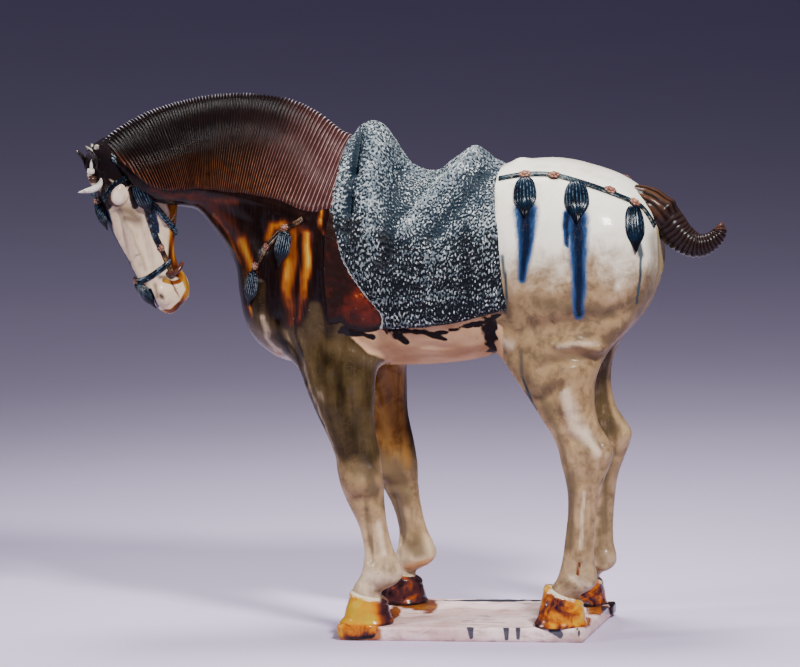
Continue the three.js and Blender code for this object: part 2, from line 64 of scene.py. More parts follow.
# The rows below are drawn in millimetres above the slab
drawnHeight = 661.0  # from the floor to the crest of the mane
slabSize = {"thickness": 18.0, "front": -155.0, "back": 151.0, "side": 103.0}
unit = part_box("horse")[1].z / drawnHeight  # metres in one drawn millimetre


def mixed(a, b, t):
    return a + (b - a) * t


def power(value, n):
    return np.sign(value) * np.abs(value) ** n


def smoothStep(low, high, value):
    t = np.clip((value - low) / (high - low), 0.0, 1.0)
    return t * t * (3.0 - 2.0 * t)


def readRows(rows, x):
    # smooth reading of a table at x, its first column
    rows = np.asarray(rows, float)
    x = np.asarray(x, float)
    i = np.clip(np.searchsorted(rows[:, 0], x, side="right") - 1, 0, len(rows) - 2)
    before, start = rows[np.maximum(i - 1, 0)], rows[i]
    end, after = rows[i + 1], rows[np.minimum(i + 2, len(rows) - 1)]
    span = (end[..., 0] - start[..., 0])[..., None]
    t = np.clip((x - start[..., 0])[..., None] / span, 0.0, 1.0)
    slopeIn = (end - before) / (end[..., :1] - before[..., :1]) * span
    slopeOut = (after - start) / (after[..., :1] - start[..., :1]) * span
    t2, t3 = t * t, t * t * t
    value = (2 * t3 - 3 * t2 + 1) * start + (t3 - 2 * t2 + t) * slopeIn
    value = value + (3 * t2 - 2 * t3) * end + (t3 - t2) * slopeOut
    return np.moveaxis(value, -1, 0)[1:]


def onSlab(points):
    # drawn millimetres above the slab to metres in the frame
    return (np.asarray(points, float) + [0.0, 0.0, slabSize["thickness"]]) * unit


def normalised(v):
    return v / np.maximum(np.linalg.norm(v, axis=-1, keepdims=True), 1e-12)


# Camera of the photograph: turned towards the tail, a little above level and slightly rolled
view = {"turn": 12.0, "rise": 8.5, "roll": 1.5, "distance": 14.0, "aim": (-0.0892, 0.0, 0.3641)}
pixelsPerMm = 0.817
focal = pixelsPerMm * view["distance"] * 1000.0  # in pixels
frameWidth, frameHeight = 800, 667


def cameraAxes():
    turn, rise, roll = (math.radians(view[k]) for k in ("turn", "rise", "roll"))
    level = Vector((math.cos(turn), math.sin(turn), 0.0))
    upright = Vector((-math.sin(turn) * math.sin(rise), math.cos(turn) * math.sin(rise), math.cos(rise)))
    right = level * math.cos(roll) - upright * math.sin(roll)
    up = level * math.sin(roll) + upright * math.cos(roll)
    return right, up, right.cross(up)


def cameraPlace():
    return Vector(view["aim"]) + cameraAxes()[2] * view["distance"]


def makeCamera():
    data = bpy.data.cameras.new("camera")
    data.sensor_width = 36.0
    data.lens = focal * data.sensor_width / frameWidth
    camera = bpy.data.objects.new("camera", data)
    bpy.context.scene.collection.objects.link(camera)
    camera.matrix_world = Matrix.Translation(cameraPlace()) @ Matrix(cameraAxes()).transposed().to_4x4()
    bpy.context.scene.camera = camera


makeCamera()


def photoRay(px, py):
    # start and direction, in metres, of the line of sight through a point of the photograph
    right, up, back = cameraAxes()
    direction = right * ((px - frameWidth / 2) / focal) - up * ((py - frameHeight / 2) / focal) - back
    return cameraPlace(), direction.normalized()


# Drawn shapes: trunk, neck, legs, hooves and head as smooth rows of sections
trunkRows = [  # x, underside, back, height of the widest line, half width
    (-277, 366, 424, 396, 34), (-269, 346, 452, 394, 57), (-255, 330, 482, 395, 74),
    (-232, 316, 520, 400, 85), (-195, 309, 556, 410, 91), (-150, 307, 574, 415, 94),
    (-95, 309, 562, 412, 98), (-40, 311, 541, 408, 101), (10, 317, 543, 412, 101),
    (55, 329, 557, 424, 99), (105, 332, 562, 425, 100), (145, 330, 556, 426, 100),
    (185, 345, 543, 434, 92), (212, 370, 526, 442, 77), (229, 400, 506, 452, 54),
    (238, 426, 484, 456, 28),
]
neckRows = [  # share, crest x y z, throat x y z, half width, turn to the left
    (0, -132, 0, 575, -205, 0, 322, 84, 0), (0.12, -156, 0, 590, -250, 0, 350, 82, 0),
    (0.24, -187, -1, 615, -272, -1, 390, 76, 2), (0.36, -222, -3, 631, -285, -4, 425, 68, 5),
    (0.48, -262, -7, 638, -303, -9, 457, 60, 9), (0.6, -304, -13, 638, -320, -17, 484, 54, 14),
    (0.72, -344, -22, 632, -334, -26, 502, 50, 19), (0.84, -385, -35, 620, -352, -38, 508, 45, 25),
    (0.93, -418, -48, 603, -378, -44, 512, 39, 29), (1, -444, -58, 583, -404, -48, 520, 30, 32),
]
forelegRows = [  # height, front, back, distance from the middle plane, half width
    (30, -143, -103, 75, 19), (38, -141, -107, 75, 17.5), (46, -138, -91, 75, 18),
    (58, -130, -78, 74.5, 20), (72, -126, -81, 74, 19), (90, -124.5, -89, 74, 16),
    (120, -131, -96, 73, 16.5), (150, -145, -99, 72, 21), (170, -152, -99, 72, 25),
    (190, -156, -101, 71, 25), (205, -158, -103, 70, 24), (237, -170, -109, 68, 27),
    (274, -188, -109, 66, 31), (313, -204, -107, 61, 33), (350, -222, -106, 54, 32),
    (410, -232, -125, 42, 30),
]
hindlegRows = [
    (30, 98, 141, 75, 19), (36, 100, 140, 75, 18), (45, 106, 157, 75, 20), (55, 114, 163, 74.5, 20.5),
    (76, 121, 160, 74, 18), (100, 125, 160, 74, 16.5), (130, 129, 163, 73, 16.5), (160, 130, 168, 72, 18.5),
    (180, 127, 175, 71, 21), (200, 122, 183, 70, 24), (215, 119, 186, 69, 25), (230, 113, 178, 68, 26),
    (247, 102, 168, 67, 28), (279, 82, 163, 64, 34), (307, 62, 167, 61, 39), (335, 46, 180, 54, 41),
    (375, 45, 204, 46, 42), (430, 62, 222, 38, 40),
]
legPlaces = [  # rows, side, shift along x, hoof toe and heel at the ground and at the coronet
    (forelegRows, -1, 0, (-153, -92, -143, -98)), (forelegRows, 1, 12, (-153, -92, -143, -98)),
    (hindlegRows, -1, 0, (87, 149, 99, 145)), (hindlegRows, 1, -4, (87, 149, 99, 145)),
]
headRows = [  # way down the face, face line, jaw line, half width at the face and at the jaw
    (-13, -10, -34, 8, 12), (-6, 3, -46, 16, 20), (5, 11, -54, 22, 26), (20, 14, -62, 27, 29),
    (45, 15, -73, 32, 31), (70, 17, -76, 29, 31), (95, 18.5, -73, 25, 29), (115, 18.5, -62, 21, 25),
    (135, 18, -49, 19, 21), (155, 18, -39, 19, 19), (172, 17, -36, 21, 20), (188, 15, -38, 22, 21),
    (203, 11, -35, 19, 19), (213, 6, -25, 14, 14), (219, 0, -13, 7, 8),
]
headPlace = {"turn": 32.0, "tuck": 25.8, "poll": (-455.0, -62.0, 569.0)}


def trunkPoint(x, angle, lift=0.0):
    low, top, middle, width = readRows(trunkRows, x)
    sine, cosine = np.sin(np.radians(angle)), np.cos(np.radians(angle))
    reach = np.where(cosine > 0, top + lift - middle, middle - low + lift)
    y = -(width + lift) * power(sine, 0.86)
    return np.stack([x + 0 * y, y, middle + reach * power(cosine, 0.92)], -1)


def neckPoint(share, angle, lift=0.0):
    row = readRows(neckRows, share)
    crest, throat = np.stack(row[0:3], -1), np.stack(row[3:6], -1)
    width, turn = row[6], np.radians(row[7])
    depth = np.linalg.norm(crest - throat, axis=-1)
    up = (crest - throat) / depth[..., None]
    left = np.stack([np.sin(turn), -np.cos(turn), 0 * turn], -1)
    sine, cosine = np.sin(np.radians(angle)), np.cos(np.radians(angle))
    reach = np.where(cosine > 0, depth * 0.6 + lift, depth * 0.4 + lift)
    swell = np.where(cosine > 0, 1.12, 0.9)
    out = ((width + lift) * power(sine, swell))[..., None] * left
    return throat + up * (depth * 0.4)[..., None] + out + (reach * power(cosine, 0.95))[..., None] * up


def headAxes():
    turn, tuck = math.radians(headPlace["turn"]), math.radians(headPlace["tuck"])
    ahead = np.array([-math.cos(turn), -math.sin(turn), 0.0])
    down = -ahead * math.sin(tuck) + np.array([0.0, 0.0, -math.cos(tuck)])
    face = ahead * math.cos(tuck) + np.array([0.0, 0.0, -math.sin(tuck)])
    left = np.array([math.sin(turn), -math.cos(turn), 0.0])
    return down, face, left


def inHead(t, d, s):
    # t down the face from the poll, d out of the face, s to the left
    down, face, left = headAxes()
    t, d, s = (np.asarray(v, float)[..., None] for v in (t, d, s))
    return np.array(headPlace["poll"]) + t * down + d * face + s * left


def headPoint(t, angle, lift=0.0):
    front, back, faceWidth, jawWidth = readRows(headRows, t)
    sine, cosine = np.sin(np.radians(angle)), np.cos(np.radians(angle))
    width = mixed(jawWidth, faceWidth, 0.5 + 0.5 * cosine) + lift
    d = (front + back) / 2 + ((front - back) / 2 + lift) * power(cosine, 0.85)
    return inHead(t + 0 * d, d, width * power(sine, 0.85))


def legPoint(rows, side, shift, z, angle):
    front, back, out, half = readRows(rows, z)
    cosine, sine = np.cos(np.radians(angle)), np.sin(np.radians(angle))
    x = (front + back) / 2 + (back - front) / 2 * power(cosine, 0.95) + shift
    return np.stack([x, side * (out + half * power(sine, 0.95)), z + 0 * x], -1)


def ringSkin(points):
    # closed skin through rings of points, as corners and triangles
    count, sides = points.shape[:2]
    corners = np.concatenate([points.reshape(-1, 3), points[:1].mean(1), points[-1:].mean(1)])
    r, i = np.meshgrid(np.arange(count - 1), np.arange(sides), indexing="ij")
    a, b = (r * sides + i).ravel(), (r * sides + (i + 1) % sides).ravel()
    faces = [np.stack([a, b, b + sides], 1), np.stack([a, b + sides, a + sides], 1)]
    i = np.arange(sides)
    last = (count - 1) * sides
    faces.append(np.stack([(i + 1) % sides, i, np.full(sides, count * sides)], 1))
    faces.append(np.stack([last + i, last + (i + 1) % sides, np.full(sides, count * sides + 1)], 1))
    faces = np.concatenate(faces)
    p = corners[faces]
    if np.einsum("ij,ij->i", p[:, 0], np.cross(p[:, 1], p[:, 2])).sum() < 0:
        faces = faces[:, ::-1]
    return corners, faces


def makeObject(name, corners, faces, smooth=True):
    mesh = bpy.data.meshes.new(name)
    faces = faces if isinstance(faces, list) else faces.tolist()
    mesh.from_pydata(np.asarray(corners).tolist(), [], faces)
    mesh.update()
    piece = bpy.data.objects.new(name, mesh)
    bpy.context.scene.collection.objects.link(piece)
    if smooth:
        mesh.shade_smooth()
    return piece


def toPhoto(points):
    # where points of the frame show in the photograph
    right, up, back = (np.array(axis) for axis in cameraAxes())
    away = np.asarray(points) - np.array(cameraPlace())
    scale = focal / -(away @ back)
    return np.stack([frameWidth / 2 + (away @ right) * scale, frameHeight / 2 - (away @ up) * scale], -1)


def pathDistance(spots, path):
    # gap from each spot to a path of straight pieces, and the share of the way along it
    path = np.asarray(path, float)
    if len(path) == 1:
        return np.linalg.norm(spots - path[0], axis=-1), np.zeros(len(spots))
    steps = np.linalg.norm(np.diff(path, axis=0), axis=1)
    done = np.concatenate([[0.0], np.cumsum(steps)])
    best, share = np.full(len(spots), np.inf), np.zeros(len(spots))
    for i, step in enumerate(steps):
        along = path[i + 1] - path[i]
        t = np.clip(((spots - path[i]) @ along) / step**2, 0.0, 1.0)
        gap = np.linalg.norm(spots - path[i] - t[:, None] * along, axis=1)
        share = np.where(gap < best, (done[i] + t * step) / done[-1], share)
        best = np.minimum(gap, best)
    return best, share


def wayAlong(line):
    # distance run along a line of points
    return np.append(0.0, np.cumsum(np.linalg.norm(np.diff(line, axis=0), axis=1)))


latticeCells = 32  # after so many cells the random values repeat


def softNoise(points, size, seed):
    # smooth random values from -1 to 1, with swells about one size wide
    lattice = np.random.default_rng(seed).uniform(-1, 1, (latticeCells,) * 3)
    place = np.asarray(points) / size
    cell = np.floor(place).astype(int)
    t = place - cell
    t = t * t * (3 - 2 * t)
    total = np.zeros(place.shape[:-1])
    for corner in itertools.product((0, 1), repeat=3):
        weight = np.prod(np.where(corner, t, 1 - t), axis=-1)
        spot = (cell + corner) % latticeCells
        total += weight * lattice[spot[..., 0], spot[..., 1], spot[..., 2]]
    return total


def pointsOf(piece):
    values = np.empty(len(piece.data.vertices) * 3)
    piece.data.vertices.foreach_get("co", values)
    return values.reshape(-1, 3)


def normalsOf(piece):
    values = np.empty(len(piece.data.vertices) * 3, np.float32)
    piece.data.vertex_normals.foreach_get("vector", values)
    return values.reshape(-1, 3).astype(float)


def setPoints(piece, points):
    piece.data.vertices.foreach_set("co", np.asarray(points, np.float32).ravel())
    piece.data.update()


def paintPoints(piece, **layers):
    for name, values in layers.items():
        layer = piece.data.attributes.new(name, "FLOAT", "POINT")
        layer.data.foreach_set("value", np.asarray(values, np.float32).ravel())


def treeOf(piece):
    mesh = piece.data
    corners = [v.co for v in mesh.vertices]
    return BVHTree.FromPolygons(corners, [tuple(p.vertices) for p in mesh.polygons])


def middleLine(x):
    # y of the figure's middle, which bends to the left along the neck
    rows = np.array(neckRows)
    return np.interp(-np.asarray(x), -rows[:, 1] * unit, rows[:, 2] * unit)


def nearSide(points):
    # the same place on the side towards the viewer, with the far legs' small steps taken out
    x, y, z = points.T
    middle = middleLine(x)
    low = 1 - smoothStep(250 * unit, 340 * unit, z)
    shift = np.where(y > 0, low * np.where(x < 0, 12.0, -4.0) * unit, 0.0)
    return np.stack([x - shift, middle - np.abs(y - middle), z], -1)


def carve(piece, strokes, place):
    # strokes are (photo path, half width in pixels, rise in millimetres), on both sides alike
    points, normals = pointsOf(piece), normalsOf(piece)
    spots = toPhoto(place(points))
    facing = np.clip(np.abs(normals @ np.array(cameraAxes()[2])) * 1.6, 0, 1)
    lift = np.zeros(len(points))
    for path, width, rise in strokes:
        gap = pathDistance(spots, path)[0]
        lift += rise * np.exp(-((gap / width) ** 2))
    return points + normals * (lift * facing * unit)[:, None]


# Soft clay joins: each form becomes a field of distances, and the fields run into each other
class ClayField:
    band = 10  # cells on either side of a surface that hold its distance

    def __init__(self, low, high, voxel):
        self.voxel = voxel
        self.start = np.floor(np.array(low) / voxel).astype(int)
        self.shape = tuple(np.ceil(np.array(high) / voxel).astype(int) - self.start)
        self.values = None

    def field(self, skin):
        corners, faces = skin
        transform = openvdb.createLinearTransform(voxelSize=self.voxel)
        grid = openvdb.FloatGrid.createLevelSetFromPolygons(
            np.ascontiguousarray(corners, np.float32), triangles=np.ascontiguousarray(faces, np.uint32),
            transform=transform, halfWidth=float(self.band))
        values = np.zeros(self.shape, np.float32)
        grid.copyToArray(values, ijk=tuple(int(v) for v in self.start))
        return values

    def join(self, skin, soft):
        other = self.field(skin)
        if self.values is None:
            self.values = other
            return
        h = np.clip(0.5 + 0.5 * (other - self.values) / soft, 0, 1)
        self.values = other * (1 - h) + self.values * h - soft * h * (1 - h)

    def carve(self, skin, soft):
        other = -self.field(skin)
        h = np.clip(0.5 - 0.5 * (other - self.values) / soft, 0, 1)
        self.values = other * (1 - h) + self.values * h + soft * h * (1 - h)

    def surface(self, name):
        # the field's zero level as a mesh
        grid = openvdb.FloatGrid()
        grid.background = float(self.voxel * self.band)
        grid.copyFromArray(self.values)
        corners, quads = grid.convertToQuads(0.0)
        corners = (corners + self.start) * self.voxel
        p = corners[quads]
        flow = np.einsum("ij,ij->i", p[:, 0], np.cross(p[:, 1] - p[:, 0], p[:, 2] - p[:, 0])).sum()
        if flow < 0:
            quads = quads[:, ::-1]
        return makeObject(name, corners, quads)


def ellipsoidRings(centre, a, b, c, around=24, rows=14):
    # a, b and c are half axes as vectors
    rise = np.linspace(0.02, math.pi - 0.02, rows)
    v, w = np.meshgrid(rise, np.arange(around) * 2 * math.pi / around, indexing="ij")
    ring = np.cos(w)[..., None] * a + np.sin(w)[..., None] * b
    return np.asarray(centre) + np.sin(v)[..., None] * ring - np.cos(v)[..., None] * c


# Trunk, neck and legs
bodyShape = {
    "voxel": 3.15, "low": (-470, -125, 30), "high": (262, 125, 680),  # grain and reach of the clay
    "neckJoin": 26.0, "legJoin": 24.0, "unevenness": 0.7,
}
bodyLump = {"place": (68, -4, 556), "radius": 11.0, "rise": 5.0}  # on the back, behind the cover
bodyStrokes = [  # photo path, half width in pixels, rise in millimetres
    ([(272, 330)], 14, 4),
    ([(279, 318), (291, 341), (300, 362), (304, 382)], 4, -3.4),
    ([(350, 336), (372, 351), (400, 357)], 5, -2.6),
    ([(322, 385), (337, 432)], 11, 3),
    ([(350, 395), (361, 452)], 5, -2.2),
    ([(358, 486)], 9, 4.6),
    ([(372, 470), (378, 484)], 5, 2.4),
    ([(345, 500), (380, 500)], 5, -2),
    ([(366, 512), (370, 560)], 3.6, -3.6),
    ([(379, 510), (385, 556)], 4, 2.6),
    ([(383, 575)], 10, 3.4),
    ([(396, 583)], 4, 2),
    ([(366, 584), (382, 590)], 3, -1.6),
    ([(558, 345), (576, 343), (598, 348)], 5.5, 6.5),
    ([(533, 331), (560, 326), (600, 320), (620, 314)], 9, -6),
    ([(540, 368), (570, 358), (598, 360)], 6, -6),
    ([(507, 341)], 8, 5.5),
    ([(518, 357), (524, 385)], 6, -2.5),
    ([(504, 300), (502, 326)], 6, -2.2),
    ([(541, 401), (552, 392), (563, 386)], 4, -3.8),
    ([(574, 395), (590, 430)], 11, 3.4),
    ([(549, 395), (568, 440)], 5, -3.4),
    ([(587, 452)], 8, 4.6),
    ([(608, 452)], 6, 1.6),
    ([(598, 436), (600, 452), (603, 472)], 3.4, -3.4),
    ([(574, 440)], 7, -3.6),
    ([(588, 478)], 7, -2.6),
    ([(590, 492), (590, 566)], 3.5, -3.6),
    ([(580, 492), (580, 560)], 4.5, 3),
    ([(570, 494), (567, 556)], 3, -2.4),
    ([(575, 580)], 9, 3.4),
    ([(590, 586)], 5, 2.4),
    ([(570, 574), (580, 584), (588, 593)], 2.6, -2.4),
    ([(200, 190), (240, 196), (280, 206), (306, 220)], 4, 2.4),
    ([(215, 205), (250, 225), (262, 245)], 7, -2.4),
    ([(318, 214), (322, 250), (330, 290)], 5, -1.6),
    ([(400, 345), (440, 352), (480, 345)], 3.5, 1.6),
    ([(396, 352), (430, 345), (470, 350)], 2.5, -1),
]


def angles(count):
    return np.arange(count) * 360.0 / count


def trunkRings():
    share = np.linspace(0, 1, 90)
    x = mixed(-277, 238, mixed(share, (1 - np.cos(np.pi * share)) / 2, 0.6))
    return trunkPoint(*np.meshgrid(x, angles(72), indexing="ij"))


def neckRings():
    return neckPoint(*np.meshgrid(np.linspace(0, 1, 70), angles(64), indexing="ij"))


def legRings(rows, side, shift):
    heights = np.linspace(rows[0][0], rows[-1][0], 90)
    return legPoint(rows, side, shift, *np.meshgrid(heights, angles(40), indexing="ij"))


def clayFor(shape):
    return ClayField(np.array(shape["low"]) * unit, np.array(shape["high"]) * unit, shape["voxel"] * unit)


def makeBody():
    clay = clayFor(bodyShape)
    clay.join(ringSkin(onSlab(trunkRings())), 1e-3)
    clay.join(ringSkin(onSlab(neckRings())), bodyShape["neckJoin"] * unit)
    for *place, _ in legPlaces:
        clay.join(ringSkin(onSlab(legRings(*place))), bodyShape["legJoin"] * unit)
    piece = clay.surface("horseBody")
    setPoints(piece, carve(piece, bodyStrokes, nearSide))
    points, normals = pointsOf(piece), normalsOf(piece)
    gap = np.linalg.norm(points - onSlab(bodyLump["place"]), axis=1)
    lump = np.exp(-(gap / (bodyLump["radius"] * unit)) ** 2) * bodyLump["rise"]
    wave = softNoise(points, 55 * unit, 3) * bodyShape["unevenness"] + softNoise(points, 17 * unit, 4) * 0.25
    setPoints(piece, points + normals * ((wave + lump) * unit)[:, None])
    return piece


horseBody = makeBody()
bodyTree = treeOf(horseBody)
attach(horseBody, "root")
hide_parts("horse")
print("body:", len(horseBody.data.polygons), "faces")


# Hooves, each a glazed block that spreads a little over the slab
hoofShape = {"height": 38.0, "aside": 75.0, "width": 27.0, "flange": 3.4,
             "toeRise": {"fore": 2.0, "hind": 11.0}}
hoofRows = [(-2, 0, 1.02), (4, 0.08, 1.03), (20, 0.5, 0.97), (31, 0.84, 0.86), (38, 1.02, 0.76)]


def hoofPoint(corners, side, shift, z, angle, toeRise):
    toe, heel, topToe, topHeel = corners
    rise, swell = readRows(hoofRows, z)  # way up the slope, and how wide it is there
    cosine, sine = np.cos(np.radians(angle)), np.sin(np.radians(angle))
    front, back = mixed(toe, topToe, rise), mixed(heel, topHeel, rise)
    x = (front + back) / 2 + (back - front) / 2 * power(cosine, 0.9) + shift
    slope = np.where(z > 3, rise * mixed(toeRise, -10.0, 0.5 + 0.5 * cosine), 0)
    reach = hoofShape["width"] * swell * (1 - 0.1 * cosine) * power(sine, 0.9)
    return np.stack([x, side * (hoofShape["aside"] + reach), z + slope], -1)


def makeHoof(name, corners, side, shift, seed):
    heights = np.concatenate([np.linspace(-1.5, 38, 44), [39.5, 40.3]])
    grid = np.meshgrid(heights, angles(112), indexing="ij")
    toeRise = hoofShape["toeRise"]["fore" if "Fore" in name else "hind"]
    points = hoofPoint(corners, side, shift, *grid, toeRise)
    centre = points.mean(axis=1, keepdims=True)
    reach = points - centre
    height, turn = grid
    toeSide = 0.5 - 0.5 * np.cos(np.radians(turn))
    flange = hoofShape["flange"] * (1 - smoothStep(0.5, 9.0, height)) * (0.35 + 0.65 * toeSide)
    coronet = 1.0 * np.exp(-((height - 35) / 2.4) ** 2)
    close = np.where(height > 38.6, -3.0, 0.0) + np.where(height > 40, -6.0, 0.0)
    lumps = softNoise(points, 14.0, seed) * 0.6 + softNoise(points, 5.0, seed + 1) * 0.22
    lift = flange * (1 + 0.5 * softNoise(points, 12.0, seed + 2)) + coronet + close
    lift = lift + lumps * smoothStep(0, 3, height)
    length = np.linalg.norm(reach, axis=-1, keepdims=True)
    points = centre + reach * (1 + lift[..., None] / np.maximum(length, 1))
    points[..., 2] = np.maximum(points[..., 2], -0.6)
    piece = makeObject(name, *ringSkin(onSlab(points)))
    paintPoints(piece, rise=np.append(height, [0.0, 40.0]) / hoofShape["height"])
    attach(piece, "root")
    return piece


hoofNames = ("hoofForeLeft", "hoofForeRight", "hoofHindLeft", "hoofHindRight")
hooves = []
for name, (rows, side, shift, corners) in zip(hoofNames, legPlaces):
    hooves.append(makeHoof(name, corners, side, shift, 20 + 5 * len(hooves)))

# Glaze that ran over the slab's corners: centre and half sizes in drawn millimetres above the floor
flowPlaces = {
    "glazeFlowFore": ((-130, -90, 11.2), (27.0, 16.0, 10.6)),
    "glazeFlowHind": ((147, 82, 10.5), (7.5, 15, 7.6)),
}


def makeFlow(name, centre, half, seed):
    v, w = np.meshgrid(np.linspace(0.03, math.pi - 0.03, 32), np.radians(angles(88)), indexing="ij")
    x = power(np.sin(v), 0.5) * power(np.cos(w), 0.55) * half[0]
    y = power(np.sin(v), 0.5) * power(np.sin(w), 0.55) * half[1]
    points = np.stack([x, y, -power(np.cos(v), 0.5) * half[2]], -1) + centre
    wave = 1 + 0.05 * softNoise(points, 9.0, seed) + 0.03 * softNoise(points, 4.0, seed + 1)
    points = centre + (points - centre) * wave[..., None] * [1, 1, 0.97]
    piece = makeObject(name, *ringSkin(points * unit))
    paintPoints(piece, rise=np.full(len(piece.data.vertices), 0.3))
    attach(piece, "root")
    return piece


flows = [makeFlow(name, *place, 91 + k) for k, (name, place) in enumerate(flowPlaces.items())]
print("hooves made")


# Head, at a finer grain
headShape = {"voxel": 1.08, "low": (-512, -135, 368), "high": (-318, 45, 645)}
eyePlace = {"middle": (48.0, -3.7, 25.5), "long": (0.729, 0.684), "short": (0.695, -0.719)}
eyeSize = {"long": 14.0, "short": 10.5, "out": 7.6}
headStrokes = [  # photo path, half width in pixels, rise in millimetres
    ([(118, 207), (123, 222), (131, 262)], 2.6, -1.5),
    ([(139, 222), (148, 262)], 2.6, -1.3),
    ([(129, 212), (141, 262)], 4, 1.2),
    ([(150, 240), (158, 262)], 3, 0.8),
    ([(128, 205), (138, 212)], 2.6, -1),
    ([(160, 291)], 7, 1.6),
    ([(153, 283), (154, 296), (160, 305)], 2, -0.8),
    ([(167, 293), (176, 287), (182, 281)], 3, 0.8),
]


def headBall(t, d, s, radii):
    down, face, left = (axis * radius for axis, radius in zip(headAxes(), radii))
    return ringSkin(onSlab(ellipsoidRings(inHead(t, d, s), down, face, left)))


def tubeRings(path, radii, around=14):
    # round rings along a path, which closes to a bar
    path, radii = np.asarray(path, float), np.asarray(radii, float)
    along = normalised(np.gradient(path, axis=0))
    side = normalised(np.cross(along, [0.31, 0.17, 0.94]))
    up = np.cross(side, along)
    turn = np.radians(angles(around))[None, :, None]
    reach = np.cos(turn) * side[:, None, :] + np.sin(turn) * up[:, None, :]
    return path[:, None, :] + reach * radii[:, None, None]


def eyeAxes():
    down, face, left = headAxes()
    longAxis = down * eyePlace["long"][0] + face * eyePlace["long"][1]
    shortAxis = down * eyePlace["short"][0] + face * eyePlace["short"][1]
    return longAxis, shortAxis, left


def lidLine(side):
    # middle line of the rim round an eye
    longAxis, shortAxis = eyeAxes()[:2]
    turn = np.radians(np.linspace(0, 360, 41))[:, None]
    t, d, s = eyePlace["middle"]
    path = inHead(t, d, side * (s + 2.2)) + np.cos(turn) * longAxis * (eyeSize["long"] + 0.4)
    return path + np.sin(turn) * shortAxis * (eyeSize["short"] + 0.4)


def makeHead():
    clay = clayFor(headShape)
    share = np.linspace(0, 1, 80)
    down = mixed(-13, 219, mixed(share, (1 - np.cos(np.pi * share)) / 2, 0.6))
    clay.join(ringSkin(onSlab(headPoint(*np.meshgrid(down, angles(64), indexing="ij")))), 1e-3)
    for side in (-1, 1):
        clay.join(headBall(50, -3, side * 22, (20, 16, 9)), 4 * unit)  # eye socket
        clay.join(headBall(80, -45, side * 23, (32, 24, 8)), 5 * unit)  # cheek
        clay.join(headBall(190, 3, side * 16, (13, 11, 7)), 4 * unit)  # wing of the nostril
        ridge = inHead(np.array([66, 95, 128]), np.array([0, 4, 8]), side * np.array([25, 22.5, 17]))
        clay.join(ringSkin(onSlab(tubeRings(ridge, [4, 4.5, 3]))), 4 * unit)
        clay.carve(headBall(196, -14, side * 24, (24, 1.5, 7)), 1.2 * unit)  # side of the mouth
        clay.carve(headBall(190, 6, side * 23, (5.5, 2.6, 4)), 1.5 * unit)  # nostril
    clay.join(headBall(208, -2, 0, (11, 10, 14)), 4 * unit)  # upper lip
    clay.join(headBall(204, -25, 0, (10, 8, 12)), 4 * unit)  # lower lip
    clay.carve(headBall(220, -13, 0, (9, 1.6, 16)), 1.2 * unit)  # front of the mouth
    piece = clay.surface("horseHead")
    setPoints(piece, carve(piece, headStrokes, nearCheek))
    points, normals = pointsOf(piece), normalsOf(piece)
    setPoints(piece, points + normals * (softNoise(points, 16 * unit, 5) * 0.3 * unit)[:, None])
    return piece


def toHead(points):
    # way down the face, out of the face and to the left, in drawn millimetres
    away = np.asarray(points) / unit - [0, 0, slabSize["thickness"]] - np.array(headPlace["poll"])
    return np.stack([away @ axis for axis in headAxes()], -1)


def nearCheek(points):
    t, d, s = toHead(points).T
    return onSlab(inHead(t, d, np.abs(s)))


horseHead = makeHead()
headTree = treeOf(horseHead)
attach(horseHead, "root")
print("head:", len(horseHead.data.polygons), "faces")


# Eyes: smooth bulges that stand in their rims
def makeEye(name, side):
    longAxis, shortAxis, left = eyeAxes()
    t, d, s = eyePlace["middle"]
    bpy.ops.mesh.primitive_uv_sphere_add(segments=48, ring_count=32, radius=1.0)
    piece = bpy.context.object
    piece.name = name
    ball = pointsOf(piece)
    reach = np.stack([longAxis * eyeSize["long"], shortAxis * eyeSize["short"], left * eyeSize["out"]])
    setPoints(piece, onSlab(inHead(t, d, side * (s + 1.2)) + ball @ reach))
    bpy.ops.object.shade_smooth()
    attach(piece, "root")
    return piece


def makeLid(name, side):
    # the upper half of the rim is the heavier one
    path = lidLine(side)
    turn = np.linspace(0, 2 * np.pi, len(path))
    radii = 0.9 + 0.6 * np.clip(-np.cos(turn - 0.6), 0, 1)
    piece = makeObject(name, *ringSkin(onSlab(tubeRings(path, radii, 12))))
    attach(piece, "root")
    return piece


eyes = [makeEye("eyeLeft", 1), makeEye("eyeRight", -1)]
lids = [makeLid("eyelidLeft", 1), makeLid("eyelidRight", -1)]


# Ears: cupped leaves that point up and a little back
earShape = {"width": 8.2, "cup": 4.0, "thickness": 1.8}
earPlaces = {"earLeft": ((9, 4, 16), (-17, 2, 16), 1), "earRight": ((10, 6, -14), (-15, 8, -15), -1)}


